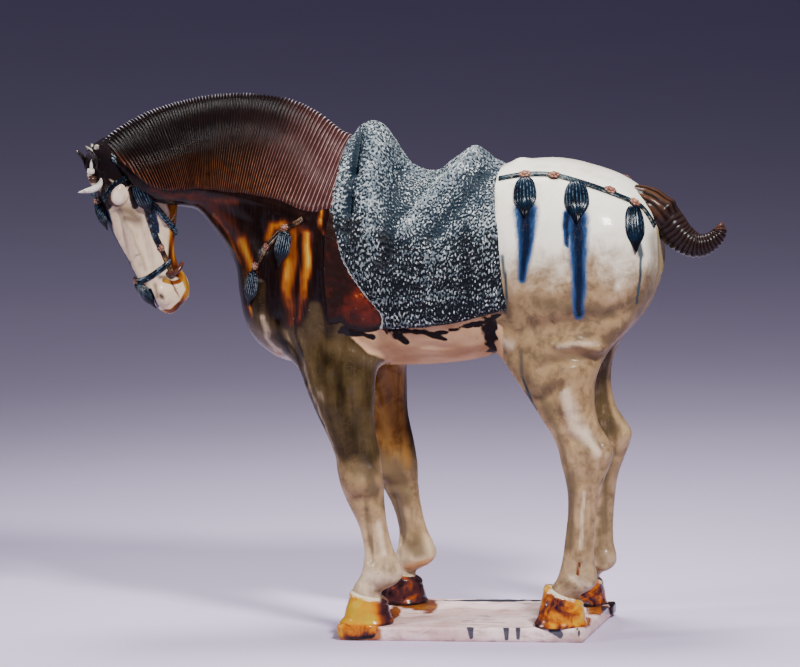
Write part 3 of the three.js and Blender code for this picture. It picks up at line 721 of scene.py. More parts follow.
def makeEar(name, base, tip, side):
    base, tip = inHead(*base), inHead(*tip)
    face, left = headAxes()[1:]
    along = tip - base
    forward = normalised(face + left * side * 0.35)
    across = normalised(np.cross(along, forward))
    forward = normalised(np.cross(across, along))
    bpy.ops.mesh.primitive_grid_add(x_subdivisions=22, y_subdivisions=16, size=2.0)
    piece = bpy.context.object
    piece.name = name
    flat = pointsOf(piece)
    share, b = flat[:, 0] * 0.5 + 0.5, flat[:, 1]
    width = earShape["width"] * np.sin(np.pi * (0.16 + 0.84 * share) ** 1.25) ** 0.75 + 0.5
    cup = earShape["cup"] * (1 - 0.6 * share) * b**2
    bow = 3.0 * np.sin(np.pi * share)
    points = base + along * share[:, None] + across * (width * b)[:, None] + forward * (cup - bow)[:, None]
    setPoints(piece, onSlab(points))
    thick = piece.modifiers.new("thickness", "SOLIDIFY")
    thick.thickness = earShape["thickness"] * unit
    thick.offset = 0.0
    roundness = piece.modifiers.new("roundness", "SUBSURF")
    roundness.levels = roundness.render_levels = 1
    for modifier in ("thickness", "roundness"):
        bpy.ops.object.modifier_apply(modifier=modifier)
    bpy.ops.object.shade_smooth()
    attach(piece, "root")
    return piece


ears = [makeEar(name, *place) for name, place in earPlaces.items()]
print("eyes and ears made")


# Mane: share along the neck, angle of the lower edge, how far it stands off
maneRows = [
    (0, 60, 0.9), (0.07, 64, 1), (0.09, 66, 1), (0.14, 69, 1), (0.24, 74, 1), (0.35, 82, 1), (0.47, 90, 1),
    (0.58, 100, 1), (0.71, 111, 1), (0.845, 116, 1), (0.93, 112, 1), (0.965, 96, 1), (1, 45, 0.6),
]
mane = {
    "ribs": 82, "perRib": 8, "across": 84, "step": 4, "thickness": 5.0, "relief": 2.2,
    "rear": 0.03, "front": 0.992, "lean": 9.5, "density": (0.74, 1.34), "wander": 0.3, "sink": 8.0,
    "rayStart": 190.0,  # out from the middle of the neck
    "rayReach": 0.16,  # in metres
}


def shellMesh(outer, inner, step):
    # closed shell from a fine outer grid and a coarse inner one that has every step-th row and column
    rows, cols = outer.shape[:2]
    innerRows, innerCols = inner.shape[:2]
    start = rows * cols

    def quads(count, width, first, flip):
        r, c = np.meshgrid(np.arange(count - 1), np.arange(width - 1), indexing="ij")
        a = (first + r * width + c).ravel()
        faces = np.stack([a, a + 1, a + width + 1, a + width], 1)
        return (faces[:, ::-1] if flip else faces).tolist()

    def rim(first, stride, innerFirst, innerStride, count, flip):
        # faces between one edge of the fine grid and the same edge of the coarse one
        for k in range(count - 1):
            fine = [first + (k * step + j) * stride for j in range(step, -1, -1)]
            low = innerFirst + k * innerStride
            loop = fine + [low, low + innerStride]
            faces.append(loop[::-1] if flip else loop)

    faces = quads(rows, cols, 0, False) + quads(innerRows, innerCols, start, True)
    rim(0, 1, start, 1, innerCols, False)
    rim((rows - 1) * cols, 1, start + (innerRows - 1) * innerCols, 1, innerCols, True)
    rim(0, cols, start, innerCols, innerRows, True)
    rim(cols - 1, cols, start + innerCols - 1, innerCols, innerRows, False)
    return np.concatenate([outer.reshape(-1, 3), inner.reshape(-1, 3)]), faces


def makeShell(name, outer, inner, step, **layers):
    piece = makeObject(name, *shellMesh(outer, inner, step))
    bpy.context.view_layer.objects.active = piece
    piece.select_set(True)
    bpy.ops.object.mode_set(mode="EDIT")
    bpy.ops.mesh.select_all(action="SELECT")
    bpy.ops.mesh.normals_make_consistent(inside=False)
    bpy.ops.object.mode_set(mode="OBJECT")
    piece.select_set(False)
    none = np.zeros(inner.shape[:2])
    paintPoints(piece, **{key: np.append(values, none) for key, values in layers.items()})
    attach(piece, "root")
    return piece


def bedUnder(shares, angle):
    # the clay under the mane, found from outside towards the middle of the neck, and the way out there
    skin = neckPoint(shares, angle)
    row = readRows(neckRows, shares)
    middle = mixed(np.stack(row[3:6], -1), np.stack(row[0:3], -1), 0.4)
    backward = mane["lean"] * np.abs(angle) / 66.0 * (1 - smoothStep(mane["rear"], 0.26, shares))
    middle[..., 0] += backward
    skin[..., 0] += backward
    out = normalised(skin - middle)
    reach = np.linalg.norm(skin - middle, axis=-1)
    for spot in np.ndindex(*shares.shape):
        start = Vector(onSlab(middle[spot] + out[spot] * mane["rayStart"]))
        place, _, _, gap = bodyTree.ray_cast(start, Vector(-out[spot]))
        if place is not None and gap < mane["rayReach"]:
            reach[spot] = max(reach[spot], mane["rayStart"] - gap / unit)
    return middle, out, reach


def refined(coarse, step):
    # the same grid with step times as many spaces, drawn straight between the old ones
    for axis in (0, 1):
        count = coarse.shape[axis] - 1
        place = np.arange(count * step + 1) / step
        low = np.minimum(place.astype(int), count - 1)
        t = (place - low).reshape([-1 if a == axis else 1 for a in range(coarse.ndim)])
        coarse = mixed(np.take(coarse, low, axis), np.take(coarse, low + 1, axis), t)
    return coarse


def makeMane():
    step = mane["step"]
    count, across = mane["ribs"] * mane["perRib"] // step * step, mane["across"]
    share = mixed(mane["rear"], mane["front"], np.linspace(0, 1, count + 1))
    shares, sides = np.meshgrid(share, np.linspace(-1, 1, across + 1), indexing="ij")
    edge, stand = readRows(maneRows, shares)
    bed = bedUnder(shares[::step, ::step], (edge * sides)[::step, ::step])
    middle, out, reach = (refined(grid, step) for grid in bed)
    out = normalised(out)
    # every rib has its own width and wanders a little on its way down
    density = mixed(*mane["density"], np.linspace(0, 1, count))
    phase = np.append(0.0, np.cumsum(density))
    phase = phase / phase[-1] * mane["ribs"]
    wander = softNoise(np.stack([shares * 26, sides * 2.0, 0 * sides], -1), 1.0, 12)
    phases = phase[:, None] + mane["wander"] * wander
    ribs = (0.5 - 0.5 * np.cos(2 * np.pi * phases)) ** 1.5
    rim = 1 - np.abs(sides) ** 36
    ends = smoothStep(0, 4, np.minimum(np.arange(count + 1), np.arange(count + 1)[::-1]))[:, None]
    tones = np.random.default_rng(11).uniform(0.6, 1.0, mane["ribs"] + 3)
    tone = tones[np.floor(phases + 1).astype(int)]
    height = mane["thickness"] - mane["relief"] * (1 - ribs) * (0.6 + 0.4 * rim) - 0.5 * (1 - tone)
    lift = np.maximum(stand, 0.25) * height * (0.3 + 0.7 * ends) * (0.2 + 0.8 * rim)
    outer = onSlab(middle + out * (reach + lift)[..., None])
    inner = onSlab(middle + out * (reach - mane["sink"])[..., None])[::step, ::step]
    return makeShell("maneHair", outer, inner, step, rib=ribs, low=np.abs(sides), rear=1 - shares, tone=tone)


maneHair = makeMane()
print("mane:", len(maneHair.data.polygons), "faces")


# Tail: bound root, ribbed curl
tailRows = [  # share, x, y, height, radius
    (0, 203, 0, 509, 22), (0.07, 215, 0, 506, 24), (0.13, 226, 0, 502, 24), (0.18, 235, 0, 496, 23),
    (0.25, 245, 0, 486, 21.5), (0.4, 263, 0, 466, 18.4), (0.55, 281, 0, 456, 15.4), (0.7, 297, 0, 459, 12.6),
    (0.85, 309.5, 0, 470, 9.4), (0.95, 310.5, 0, 478, 7.6), (1, 308, 0, 481, 5.5),
]
tailShape = {"ribs": 20, "ribStart": 0.24, "relief": 1.7, "locks": 15, "turns": 260, "sides": 60}
tailKnot = {"share": 0.2, "width": 0.022, "rise": 2.6}


def makeTail():
    share = np.linspace(0, 1, tailShape["turns"])
    x, y, z, radius = readRows(tailRows, share)
    path = np.stack([x, y, z], -1)
    out = np.array([0.0, -1.0, 0.0])
    up = normalised(np.cross(normalised(np.gradient(path, axis=0)), out))
    turn = np.radians(angles(tailShape["sides"]))[None, :]
    ribPhase = (share - tailShape["ribStart"]) / (1 - tailShape["ribStart"]) * tailShape["ribs"]
    ribbed = smoothStep(tailShape["ribStart"], tailShape["ribStart"] + 0.03, share)[:, None]
    ribs = np.abs(np.sin(np.pi * (ribPhase[:, None] + 0.35 * np.cos(turn)))) ** 0.6
    upper = 0.55 + 0.45 * np.cos(turn - 0.5)
    locks = np.abs(np.sin(tailShape["locks"] * turn / 2 + 7.2 * share[:, None])) ** 0.6
    rooted = (1 - ribbed) * (1 - 0.5 * smoothStep(0.1, 0.24, share)[:, None])
    knot = tailKnot["rise"] * np.exp(-((share - tailKnot["share"]) / tailKnot["width"]) ** 2)[:, None]
    knot = knot * (1 + 0.3 * np.sin(3 * turn))
    reach = radius[:, None] - tailShape["relief"] * (1 - ribs) * ribbed * upper
    reach = reach - 2.2 * (1 - locks) * rooted + knot
    reach = reach * np.sqrt(np.clip((1 - share) / 0.02, 0.05, 1))[:, None]
    spots = np.stack(np.broadcast_arrays(share[:, None] * 40, np.cos(turn) * 2, np.sin(turn) * 2), -1)
    reach = reach + 0.35 * softNoise(spots, 1.0, 8)
    ring = np.cos(turn)[..., None] * up[:, None] + 0.92 * np.sin(turn)[..., None] * out
    piece = makeObject("tail", *ringSkin(onSlab(path[:, None] + reach[..., None] * ring)))
    groove = (1 - ribs) * ribbed * upper + (1 - locks) * rooted
    along = np.repeat(share, tailShape["sides"])
    paintPoints(piece, groove=np.append(groove, [0.0, 0.0]), along=np.append(along, [0.0, 1.0]))
    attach(piece, "root")
    return piece


tail = makeTail()
print("tail made")


# Saddle hidden under a shaggy cover: ridge line and the edges of the cover, as x and height
saddleRows = [
    (-175, 570), (-160, 579), (-149, 589), (-143, 594), (-139, 592), (-132, 601), (-117, 607),
    (-104, 602), (-95, 589), (-87, 573), (-76, 556), (-60, 547), (-46, 545), (-33, 548), (-8, 566),
    (8, 576), (20, 571), (32, 561), (45, 556), (70, 556),
]
coverFront = [
    (362, -95), (382, -94), (409, -114), (440, -135), (477, -149), (524, -160), (570, -148), (630, -143),
]
coverRear = [(380, 64), (430, 59), (477, 55), (526, 50), (566, 50), (630, 51)]
coverHem = [(-100, 362), (-80, 362), (-42, 365), (2, 371), (33, 379), (70, 389)]
cover = {
    "thickness": 8.0, "edge": 3.6, "edgeDrop": 2.72, "nap": 1.7, "sink": 12.0,
    "hemAngles": (60.0, 125.0), "middleX": -46.0, "spread": (-145.0, 60.0),
    "columns": 144, "leftRows": 288, "rightRows": 200, "step": 8, "canvas": (680.0, 300.0), "thread": 0.5,
}
coverStrokes = [  # photo path, half width in pixels, rise in millimetres
    ([(359, 129), (357, 148), (354, 170)], 3.8, -9),
    ([(354, 168), (351, 188), (349, 212)], 3.4, -5),
    ([(350, 198), (346, 236)], 4, -4),
    ([(347, 142), (342, 175), (337, 205)], 5, 2.6),
    ([(378, 132), (372, 170), (366, 240)], 9, 3.2),
    ([(402, 172), (392, 212), (384, 262)], 6.5, -4),
    ([(425, 190), (404, 222), (396, 250)], 9, -3),
    ([(474, 152), (452, 176), (420, 204), (402, 232)], 6, 7),
    ([(486, 172), (464, 198), (430, 236)], 6.5, -5.5),
    ([(430, 245), (424, 325)], 9, 2),
    ([(462, 235), (466, 318)], 8, -2),
    ([(490, 196), (494, 300)], 6, 2),
    ([(360, 262), (384, 300)], 6, 1.6),
]


def coverPoint(x, angle, lift):
    ridge, = readRows(saddleRows, x)
    top = readRows(trunkRows, x)[1]
    place = trunkPoint(x, angle, lift)
    near = np.clip(1 - (np.sqrt(angle**2 + 49) - 7) / 62, 0, 1)
    place[..., 1] *= 1 - 0.12 * near
    place[..., 2] += (ridge - top - cover["thickness"]) * near**1.3
    return place


def woolCanvas(seed, wave, stretch, spread):
    # random curls of one wavelength, drawn out downwards by stretch
    rows, cols = (int(length / cover["thread"]) for length in cover["canvas"])
    spectrum = np.fft.rfft2(np.random.default_rng(seed).standard_normal((rows, cols)))
    across = np.fft.rfftfreq(cols, cover["thread"])[None, :]
    down = np.fft.fftfreq(rows, cover["thread"])[:, None] * stretch
    spectrum *= np.exp(-((np.hypot(across, down) * wave - 1) / spread) ** 2)
    field = np.fft.irfft2(spectrum, (rows, cols))
    return field / field.std()


def readCanvas(canvas, down, across):
    r, c = down / cover["thread"], across / cover["thread"]
    i, j = np.floor(r).astype(int), np.floor(c).astype(int)
    u, v = r - i, c - j
    i, j = i % (canvas.shape[0] - 1), j % (canvas.shape[1] - 1)
    return mixed(mixed(canvas[i, j], canvas[i, j + 1], v),
                 mixed(canvas[i + 1, j], canvas[i + 1, j + 1], v), u)


def coverGrid():
    # x, angle and way down of every point: columns run to the rear, rows from the left hem to the right
    column = np.linspace(0, 1, cover["columns"] + 1)
    hemX = mixed(coverFront[0][1], coverRear[0][1], column)
    hemZ, = readRows(coverHem, hemX)
    low, high = (np.full(hemX.shape, limit) for limit in cover["hemAngles"])
    for _ in range(30):
        middle = (low + high) / 2
        under = coverPoint(hemX, middle, cover["thickness"])[:, 2] < hemZ
        low, high = np.where(under, low, middle), np.where(under, middle, high)
    # rows are spaced evenly along the drape of the middle column
    test = np.linspace(0, 1, 400)
    middleX = np.full(test.shape, cover["middleX"])
    line = coverPoint(middleX, test * low[cover["columns"] // 2], cover["thickness"])
    arc = wayAlong(line)
    left = np.interp(np.linspace(1, 0, cover["leftRows"] + 1), arc / arc[-1], test)
    right = np.interp(np.linspace(0, 1, cover["rightRows"] + 1), arc / arc[-1], test)
    share = np.concatenate([left, -right[1:]])
    angle = share[:, None] * low[None, :]
    x = np.broadcast_to(mixed(*cover["spread"], column), angle.shape).copy()
    for _ in range(4):
        z = coverPoint(x, angle, cover["thickness"])[..., 2]
        x = mixed(readRows(coverFront, z)[0], readRows(coverRear, z)[0], column[None, :])
    drop = np.interp(np.abs(share), test, arc)
    return x, angle, np.broadcast_to(np.copysign(drop, share)[:, None], angle.shape)


def makeCover():
    x, angle, drop = coverGrid()
    front, rear, low = x - x[:, :1], x[:, -1:] - x, drop.max() - np.abs(drop)
    edge = np.minimum(np.minimum(front, rear), low)
    lift = mixed(cover["edge"], cover["thickness"], smoothStep(0, 14.0, edge))
    lift = lift - cover["edgeDrop"] * (1 - smoothStep(0, 5.0, edge))
    points = coverPoint(x, angle, lift)

    # wool: curls on the seat, longer tufts where it hangs
    down, across = drop + cover["canvas"][0] / 2, x + 200.0
    curls = readCanvas(woolCanvas(31, 3.6, 1.2, 0.5), down, across)
    tufts = readCanvas(woolCanvas(32, 3.2, 2.1, 0.4), down, across)
    clumps = softNoise(points, 17.0, 33)
    bands = softNoise(np.stack([across / 60, np.abs(drop) / 7.0, 0 * across], -1), 1.0, 34)
    hang = smoothStep(95, 165, np.abs(drop) + 22 * clumps)
    nap = curls * (1 - hang) + tufts * hang
    dark = 0.3 * clumps + 0.55 * bands * hang
    fleck = smoothStep(-0.55, 1.25, nap + 0.3 - 0.42 * hang - dark)
    height = (cover["nap"] * (fleck - 0.45) + 0.9 * clumps) * smoothStep(1.5, 4.0, edge)

    # the folds are carved on a plain sketch of the cover, and the wool stands on them
    step, smooth = cover["step"], onSlab(points)
    sketch = makeObject("coverSketch", *shellMesh(smooth, smooth[::step, ::step], step))
    folded = carve(sketch, coverStrokes, nearSide)[: x.size].reshape(smooth.shape)
    normals = normalsOf(sketch)[: x.size].reshape(smooth.shape)
    bpy.data.objects.remove(sketch)
    # painted shade: how deep the folds are carved, which darkens the wool there
    deep = np.clip(-((folded - smooth) * normals).sum(-1) / (6.0 * unit), -0.6, 1.0)
    outer = folded + normals * (height * unit)[..., None]
    inner = onSlab(coverPoint(x[::step, ::step], angle[::step, ::step], -5.0))
    rim = (1 - smoothStep(2.8, 4.8, front)) * smoothStep(50, 75, np.abs(drop))
    return makeShell("saddleCover", outer, inner, step, fleck=fleck, hang=hang, rim=rim, deep=deep)


def tuckUnderCover():
    # the clay draws back under the cover, where its folds dip
    points, normals = pointsOf(horseBody), normalsOf(horseBody)
    x, height = points[:, 0] / unit, points[:, 2] / unit - slabSize["thickness"]
    front, rear = readRows(coverFront, height)[0], readRows(coverRear, height)[0]
    hem, = readRows(coverHem, np.clip(x, -100, 70))
    inside = np.minimum(np.minimum(x - front, rear - x), height - hem)
    setPoints(horseBody, points - normals * (cover["sink"] * unit * smoothStep(3, 16, inside))[:, None])


tuckUnderCover()
saddleCover = makeCover()
print("cover:", len(saddleCover.data.polygons), "faces")


# Things laid on the figure: a photo point is dropped along the line of sight onto what carries it
def dropOn(tree, pixels):
    places, normals = [], []
    last = None
    for px, py in pixels:
        start, direction = photoRay(px, py)
        place, normal, _, gap = tree.ray_cast(start, direction)
        if place is None:
            depth = last if last is not None else view["distance"]
            place, normal, _, _ = tree.find_nearest(start + direction * depth)
        else:
            last = gap
        places.append(place)
        normals.append(normal)
    return np.array(places), np.array(normals)


def settle(tree, points):
    # nearest places on a surface, with its outward direction there
    found = [tree.find_nearest(Vector(point)) for point in points]
    return np.array([f[0] for f in found]), np.array([f[1] for f in found])


def smoothPath(pixels, count):
    # evenly spaced points of a smooth curve through a few photo points
    rows = np.column_stack([wayAlong(pixels), pixels])
    fine = np.stack(readRows(rows, np.linspace(0, rows[-1, 0], 200)), -1)
    run = wayAlong(fine)
    return np.stack([np.interp(np.linspace(0, run[-1], count), run, fine[:, k]) for k in range(2)], -1)


def evenly(points, normals, count):
    # the same line with evenly spaced points, a little smoothed
    run = wayAlong(points)
    where = np.linspace(0, run[-1], count)
    even = np.stack([np.interp(where, run, points[:, k]) for k in range(3)], -1)
    out = np.stack([np.interp(where, run, normals[:, k]) for k in range(3)], -1)
    for _ in range(6):
        even[1:-1] = even[1:-1] * 0.5 + (even[:-2] + even[2:]) * 0.25
        out[1:-1] = out[1:-1] * 0.5 + (out[:-2] + out[2:]) * 0.25
    return even, normalised(out)


def acrossBody(points):
    # mirrored in the bent middle plane of trunk and neck
    points = np.array(points)
    points[:, 1] = 2 * middleLine(points[:, 0]) - points[:, 1]
    return points


def acrossHead(points):
    t, d, s = toHead(points).T
    return onSlab(inHead(t, d, -s))


strapShape = {"sides": 20, "groove": 0.42, "sink": 1.6}  # the groove is a share of the thickness


def strapRings(points, normals, width, thickness):
    # a band of two cords side by side, sunk a little in what it lies on
    along = normalised(np.gradient(points, axis=0))
    side = normalised(np.cross(normals, along))
    out = normalised(np.cross(along, side))
    turn = np.radians(angles(strapShape["sides"]))
    sine, cosine = np.sin(turn), np.cos(turn)
    ridge = 1 - strapShape["groove"] * np.exp(-((cosine / 0.24) ** 2))
    reach = width / 2 * power(cosine, 0.8)
    rise = np.where(sine > 0, thickness * np.abs(sine) ** 0.7 * ridge, strapShape["sink"] * sine)
    rings = points[:, None] + side[:, None] * (reach * unit)[:, None] + out[:, None] * (rise * unit)[:, None]
    return rings, ridge


def makeStrap(name, tree, points, normals, width, thickness, count=72):
    points, normals = evenly(points, normals, count)
    points, normals = evenly(settle(tree, points)[0], normals, count)
    rings, ridge = strapRings(points, normals, width, thickness)
    piece = makeObject(name, *ringSkin(rings))
    paintPoints(piece, ridge=np.append(np.tile(ridge, count), [1.0, 1.0]))
    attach(piece, "root")
    return piece


def makeStrapPair(name, tree, mirror, pixels, width, thickness):
    points, normals = dropOn(tree, smoothPath(pixels, 70))
    left = makeStrap(name + "Left", tree, points, normals, width, thickness)
    points, normals = settle(tree, mirror(points))
    return [left, makeStrap(name + "Right", tree, points, normals, width, thickness)]


# Tassel: a fluted bud that gathers to a dark knob, modelled once
tasselShape = {"flutes": 20, "relief": 0.11}
tasselRows = [  # share of the length, share of the half width
    (0, 0.26), (0.03, 0.5), (0.08, 0.68), (0.18, 0.85), (0.34, 0.97), (0.48, 1), (0.6, 0.93),
    (0.7, 0.74), (0.78, 0.5), (0.86, 0.31), (0.94, 0.17), (1, 0.02),
]


def tasselModel():
    bpy.ops.mesh.primitive_uv_sphere_add(segments=100, ring_count=34, radius=1.0)
    piece = bpy.context.object
    piece.name = "tasselModel"
    ball = pointsOf(piece)
    share = np.arccos(np.clip(ball[:, 2], -1, 1)) / np.pi
    turn = np.arctan2(ball[:, 1], ball[:, 0])
    radius, = readRows(tasselRows, share)
    flute = (0.5 + 0.5 * np.cos(tasselShape["flutes"] * turn + 0.6 * np.sin(3 * share))) ** 0.8
    strength = smoothStep(0.02, 0.1, share) * (1 - 0.75 * smoothStep(0.74, 0.9, share))
    reach = radius * (1 - tasselShape["relief"] * (1 - flute) * strength)
    setPoints(piece, np.stack([np.cos(turn) * reach, np.sin(turn) * reach, -share], -1))
    bpy.ops.object.shade_smooth()
    paintPoints(piece, flute=flute * strength, along=share)
    piece.select_set(False)
    return piece


rosetteShape = {"beads": 7, "ringRadius": 0.66, "beadRadius": 0.33, "middleRadius": 0.46}


def rosetteModel():
    # a low boss of radius 1, with a ring of beads round a middle one
    beads = [(0, 0, 0.62, rosetteShape["middleRadius"])]
    for a in np.arange(rosetteShape["beads"]) * 2 * math.pi / rosetteShape["beads"]:
        x, y = math.cos(a) * rosetteShape["ringRadius"], math.sin(a) * rosetteShape["ringRadius"]
        beads.append((x, y, 0.34, rosetteShape["beadRadius"]))
    parts = []
    for x, y, z, radius in beads:
        bpy.ops.mesh.primitive_uv_sphere_add(segments=14, ring_count=9, radius=radius, location=(x, y, z))
        parts.append(bpy.context.object)
    bpy.ops.mesh.primitive_cylinder_add(vertices=24, radius=1.0, depth=0.9, location=(0, 0, -0.1))
    base = bpy.context.object
    base.name = "rosetteModel"
    bevel = base.modifiers.new("rim", "BEVEL")
    bevel.width, bevel.segments = 0.22, 3
    bpy.ops.object.modifier_apply(modifier="rim")
    for part in parts:
        part.select_set(True)
    bpy.ops.object.join()
    bpy.ops.object.transform_apply(location=True, rotation=True, scale=True)
    bpy.ops.object.shade_smooth()
    base.select_set(False)
    paintPoints(base, high=smoothStep(0.1, 0.8, pointsOf(base)[:, 2]))
    return base


def placeCopy(model, name, origin, axes):
    # a copy with a mesh of its own, whose x, y and z run along the three axes
    mesh = model.data.copy()
    mesh.name = name
    piece = bpy.data.objects.new(name, mesh)
    bpy.context.scene.collection.objects.link(piece)
    setPoints(piece, np.asarray(origin) + pointsOf(model) @ np.asarray(axes))
    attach(piece, "root")
    return piece


tasselMade = tasselModel()
rosetteMade = rosetteModel()


def hangTassel(name, top, bottom, normal, halfWidth, halfDepth):
    down = bottom - top
    out = normalised(normal - down * (normal @ down) / (down @ down))
    side = normalised(np.cross(out, down))
    top = top + out * halfDepth * 0.55 * unit
    return placeCopy(tasselMade, name, top, [side * halfWidth * unit, out * halfDepth * unit, -down])


def makeTasselPair(name, tree, mirror, top, bottom, halfWidth, halfDepth):
    # top and bottom are photo points
    ends, normals = dropOn(tree, [top, bottom])
    made = [hangTassel(name + "Left", *ends, normalised(normals.sum(0)), halfWidth, halfDepth)]
    ends, normals = settle(tree, mirror(ends))
    return made + [hangTassel(name + "Right", *ends, normalised(normals.sum(0)), halfWidth, halfDepth)]


def setRosette(name, place, normal, along, radius, stretch=1.0):
    side = normalised(along - normal * (along @ normal))
    cross = np.cross(normal, side)
    axes = [side * radius * stretch * unit, cross * radius * unit, normal * radius * 0.75 * unit]
    return placeCopy(rosetteMade, name, place + normal * 0.8 * unit, axes)


def makeRosettePair(name, tree, mirror, pixel, toward, radius, stretch=1.0):
    # a photo point, and one that its long way points to
    spots, normals = dropOn(tree, [pixel, toward])
    made = [setRosette(name + "Left", spots[0], normals[0], spots[1] - spots[0], radius, stretch)]
    spots, normals = settle(tree, mirror(spots))
    return made + [setRosette(name + "Right", spots[0], normals[0], spots[1] - spots[0], radius, stretch)]


# Harness of the body, given by points of the photograph
crupperPath = [
    (499, 179), (523, 175), (552, 175), (575, 181), (600, 189), (630, 201), (641, 206), (654, 226),
]
crupperRosettes = [
    ((525, 175), (530, 175)), ((554, 176), (560, 177)), ((610, 191), (616, 193)),
    ((634, 203), (640, 206)),
]
crupperTassels = [  # top, bottom, half width in millimetres
    ((525.5, 179), (526, 219), 14.5), ((576, 183), (577.5, 225), 15.5), ((631.5, 206), (634, 254), 14),
]
breastPath = [(303, 219), (295, 224), (285, 228), (275, 238), (267, 247), (259, 260), (253, 274), (248, 290)]
breastRosettes = [((285, 228), (280, 232)), ((267, 247), (264, 251)), ((256, 266), (254, 271))]
breastTassels = [((287, 231), (279, 267), 10.0), ((256, 271), (250, 306), 10.0)]

straps = makeStrapPair("crupper", bodyTree, acrossBody, crupperPath, 8.0, 3.2)
straps += makeStrapPair("breastStrap", bodyTree, acrossBody, breastPath, 6.6, 3.2)
rosettes, tassels = [], []
for number, spots in enumerate(crupperRosettes, 1):
    rosettes += makeRosettePair(f"crupperRosette{number}", bodyTree, acrossBody, *spots, 6.2, 1.3)
for number, place in enumerate(crupperTassels, 1):
    tassels += makeTasselPair(f"crupperTassel{number}", bodyTree, acrossBody, *place, 8.0)
for number, spots in enumerate(breastRosettes, 1):
    rosettes += makeRosettePair(f"breastRosette{number}", bodyTree, acrossBody, *spots, 5.0, 1.1)
for number, place in enumerate(breastTassels, 1):
    tassels += makeTasselPair(f"breastTassel{number}", bodyTree, acrossBody, *place, 6.5)
print("body harness made")


# Bridle
bridlePaths = {  # photo path, width, thickness
    "crownpiece": ([(112, 157), (119, 163), (126, 171), (133, 178)], 7.6, 4.4),
    "browband": ([(128, 177), (120, 181), (111, 188), (105, 199)], 7.0, 3.6),
    "cheekStrap": ([(143, 198), (148, 213), (152, 226), (156, 238), (160, 246)], 7.8, 3.6),
    "cheekStrapLow": ([(160, 246), (164, 255), (168, 265), (171, 273)], 6.4, 3.2),
    "throatlatch": ([(150, 201), (158, 210), (168, 222), (179, 235)], 7.6, 3.8),
}
noseband = {"t": 163.0, "reach": 118.0, "width": 7.6, "thickness": 3.8, "drop": -4.0}


def makeBridle():
    made = []
    for name, (pixels, width, thickness) in bridlePaths.items():
        made += makeStrapPair(name, headTree, acrossHead, pixels, width, thickness)
    turn = np.linspace(-noseband["reach"], noseband["reach"], 90)
    t = noseband["t"] + noseband["drop"] * (np.abs(turn) / 100) ** 2
    points, normals = settle(headTree, onSlab(headPoint(t, turn, 3.0)))
    band = makeStrap("noseband", headTree, points, normals, noseband["width"], noseband["thickness"], 100)
    return made + [band]


straps += makeBridle()
rosettes += makeRosettePair("cheekRosette", headTree, acrossHead, (133, 177), (138, 182), 5.2)
rosettes += makeRosettePair("bitRosette", headTree, acrossHead, (160.5, 247), (163, 252), 4.6, 1.25)
tassels += makeTasselPair("cheekTassel", headTree, acrossHead, (136, 181), (151, 214), 11.5, 8.0)


def onFace(t, s=0.0, lift=0.0):
    # a place on the front of the face
    place, normal = settle(headTree, onSlab(inHead(np.array([t]), np.array([30.0]), np.array([s]))))
    return place[0] + normal[0] * lift * unit, normal[0]


facePlaces = {  # way down the face, aside, length, half width, swing of the tip to the left
    "browTassel": (50.0, 2.0, 38.0, 7.5, 1.0),
    "noseTassel": (163.0, 4.0, 40.0, 10.5, 9.0),
}


def makeFaceOrnaments():
    # boss and tassel on the forehead, and again on the noseband, where the tassel hangs along the face
    hung, bosses = [], []
    for name, (t, s, length, halfWidth, swing) in facePlaces.items():
        place, normal = onFace(t, s, 1.0)
        bottom, normalLow = onFace(t + length, s + swing, 2.5)
        if name == "noseTassel":
            bottom, normalLow = place + (inHead(length, -6.0, swing) - inHead(0, 0, 0)) * unit, normal
        hung.append(hangTassel(name, place, bottom, normalised(normal + normalLow), halfWidth, 6.0))
        top, normal = onFace(t - 1.5, s, 2.6)
        bosses.append(setRosette(name + "Rosette", top, normal, bottom - place, 5.0))
    return hung, bosses


hungOnFace, faceBosses = makeFaceOrnaments()
tassels += hungOnFace
rosettes += faceBosses


def makeBar(name, path, radii, flat=1.0):
    # a soft bar through places in the head's own axes, squeezed square to the face
    rows = np.column_stack([np.linspace(0, 1, len(path)), path, radii])
    fine = readRows(rows, np.linspace(0, 1, 40))
    centre = inHead(fine[0], fine[1], fine[2])
    rings = tubeRings(centre, np.maximum(fine[3], 0.15), 20)
    face = headAxes()[1]
    rings = rings - (1 - flat) * ((rings - centre[:, None]) @ face)[..., None] * face
    piece = makeObject(name, *ringSkin(onSlab(rings)))
    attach(piece, "root")
    return piece


# Tied forelock over the forehead and a bow behind the ears, as places down, out of and across the head
forelock = [
    makeBar("forelockFlame", [(7, 8, 11), (2, 5.5, 11.5), (-3, 3, 12)], [3.0, 2.6, 0.3], 0.7),
    makeBar("forelockCap", [(6.5, 15, 14), (8.5, 12.5, 15.5), (11, 8.5, 16)], [2.8, 4.2, 3.2]),
    makeBar("forelockHorn",
            [(19, 3, 18), (25, 6, 18), (29.5, 12, 16), (30.5, 20, 12), (28.5, 28, 9), (26.5, 36, 6)],
            [1.6, 2.8, 4.2, 4.0, 2.6, 0.4]),
]
forelockBead = makeBar("forelockBead", [(16.5, 18.5, 14), (18.5, 15, 15.5), (21, 11, 16)], [3.4, 5.2, 3.6])
pollBow = [
    makeBar("pollBowFront", [(-8, -4, 4), (-14, -1, 6), (-19, 1, 5)], [2.2, 3.4, 0.5], 0.5),
    makeBar("pollBowLeft", [(-8, -7, 4), (-12, -10, 10), (-14, -12, 15)], [2.2, 3.6, 0.6], 0.5),
    makeBar("pollBowRight", [(-8, -7, -2), (-11, -10, -8), (-12, -12, -13)], [2.2, 3.6, 0.6], 0.5),
    makeBar("pollBowKnot", [(-7, -8, 1), (-9, -3, 1)], [2.8, 2.8]),
]
bitBars = []
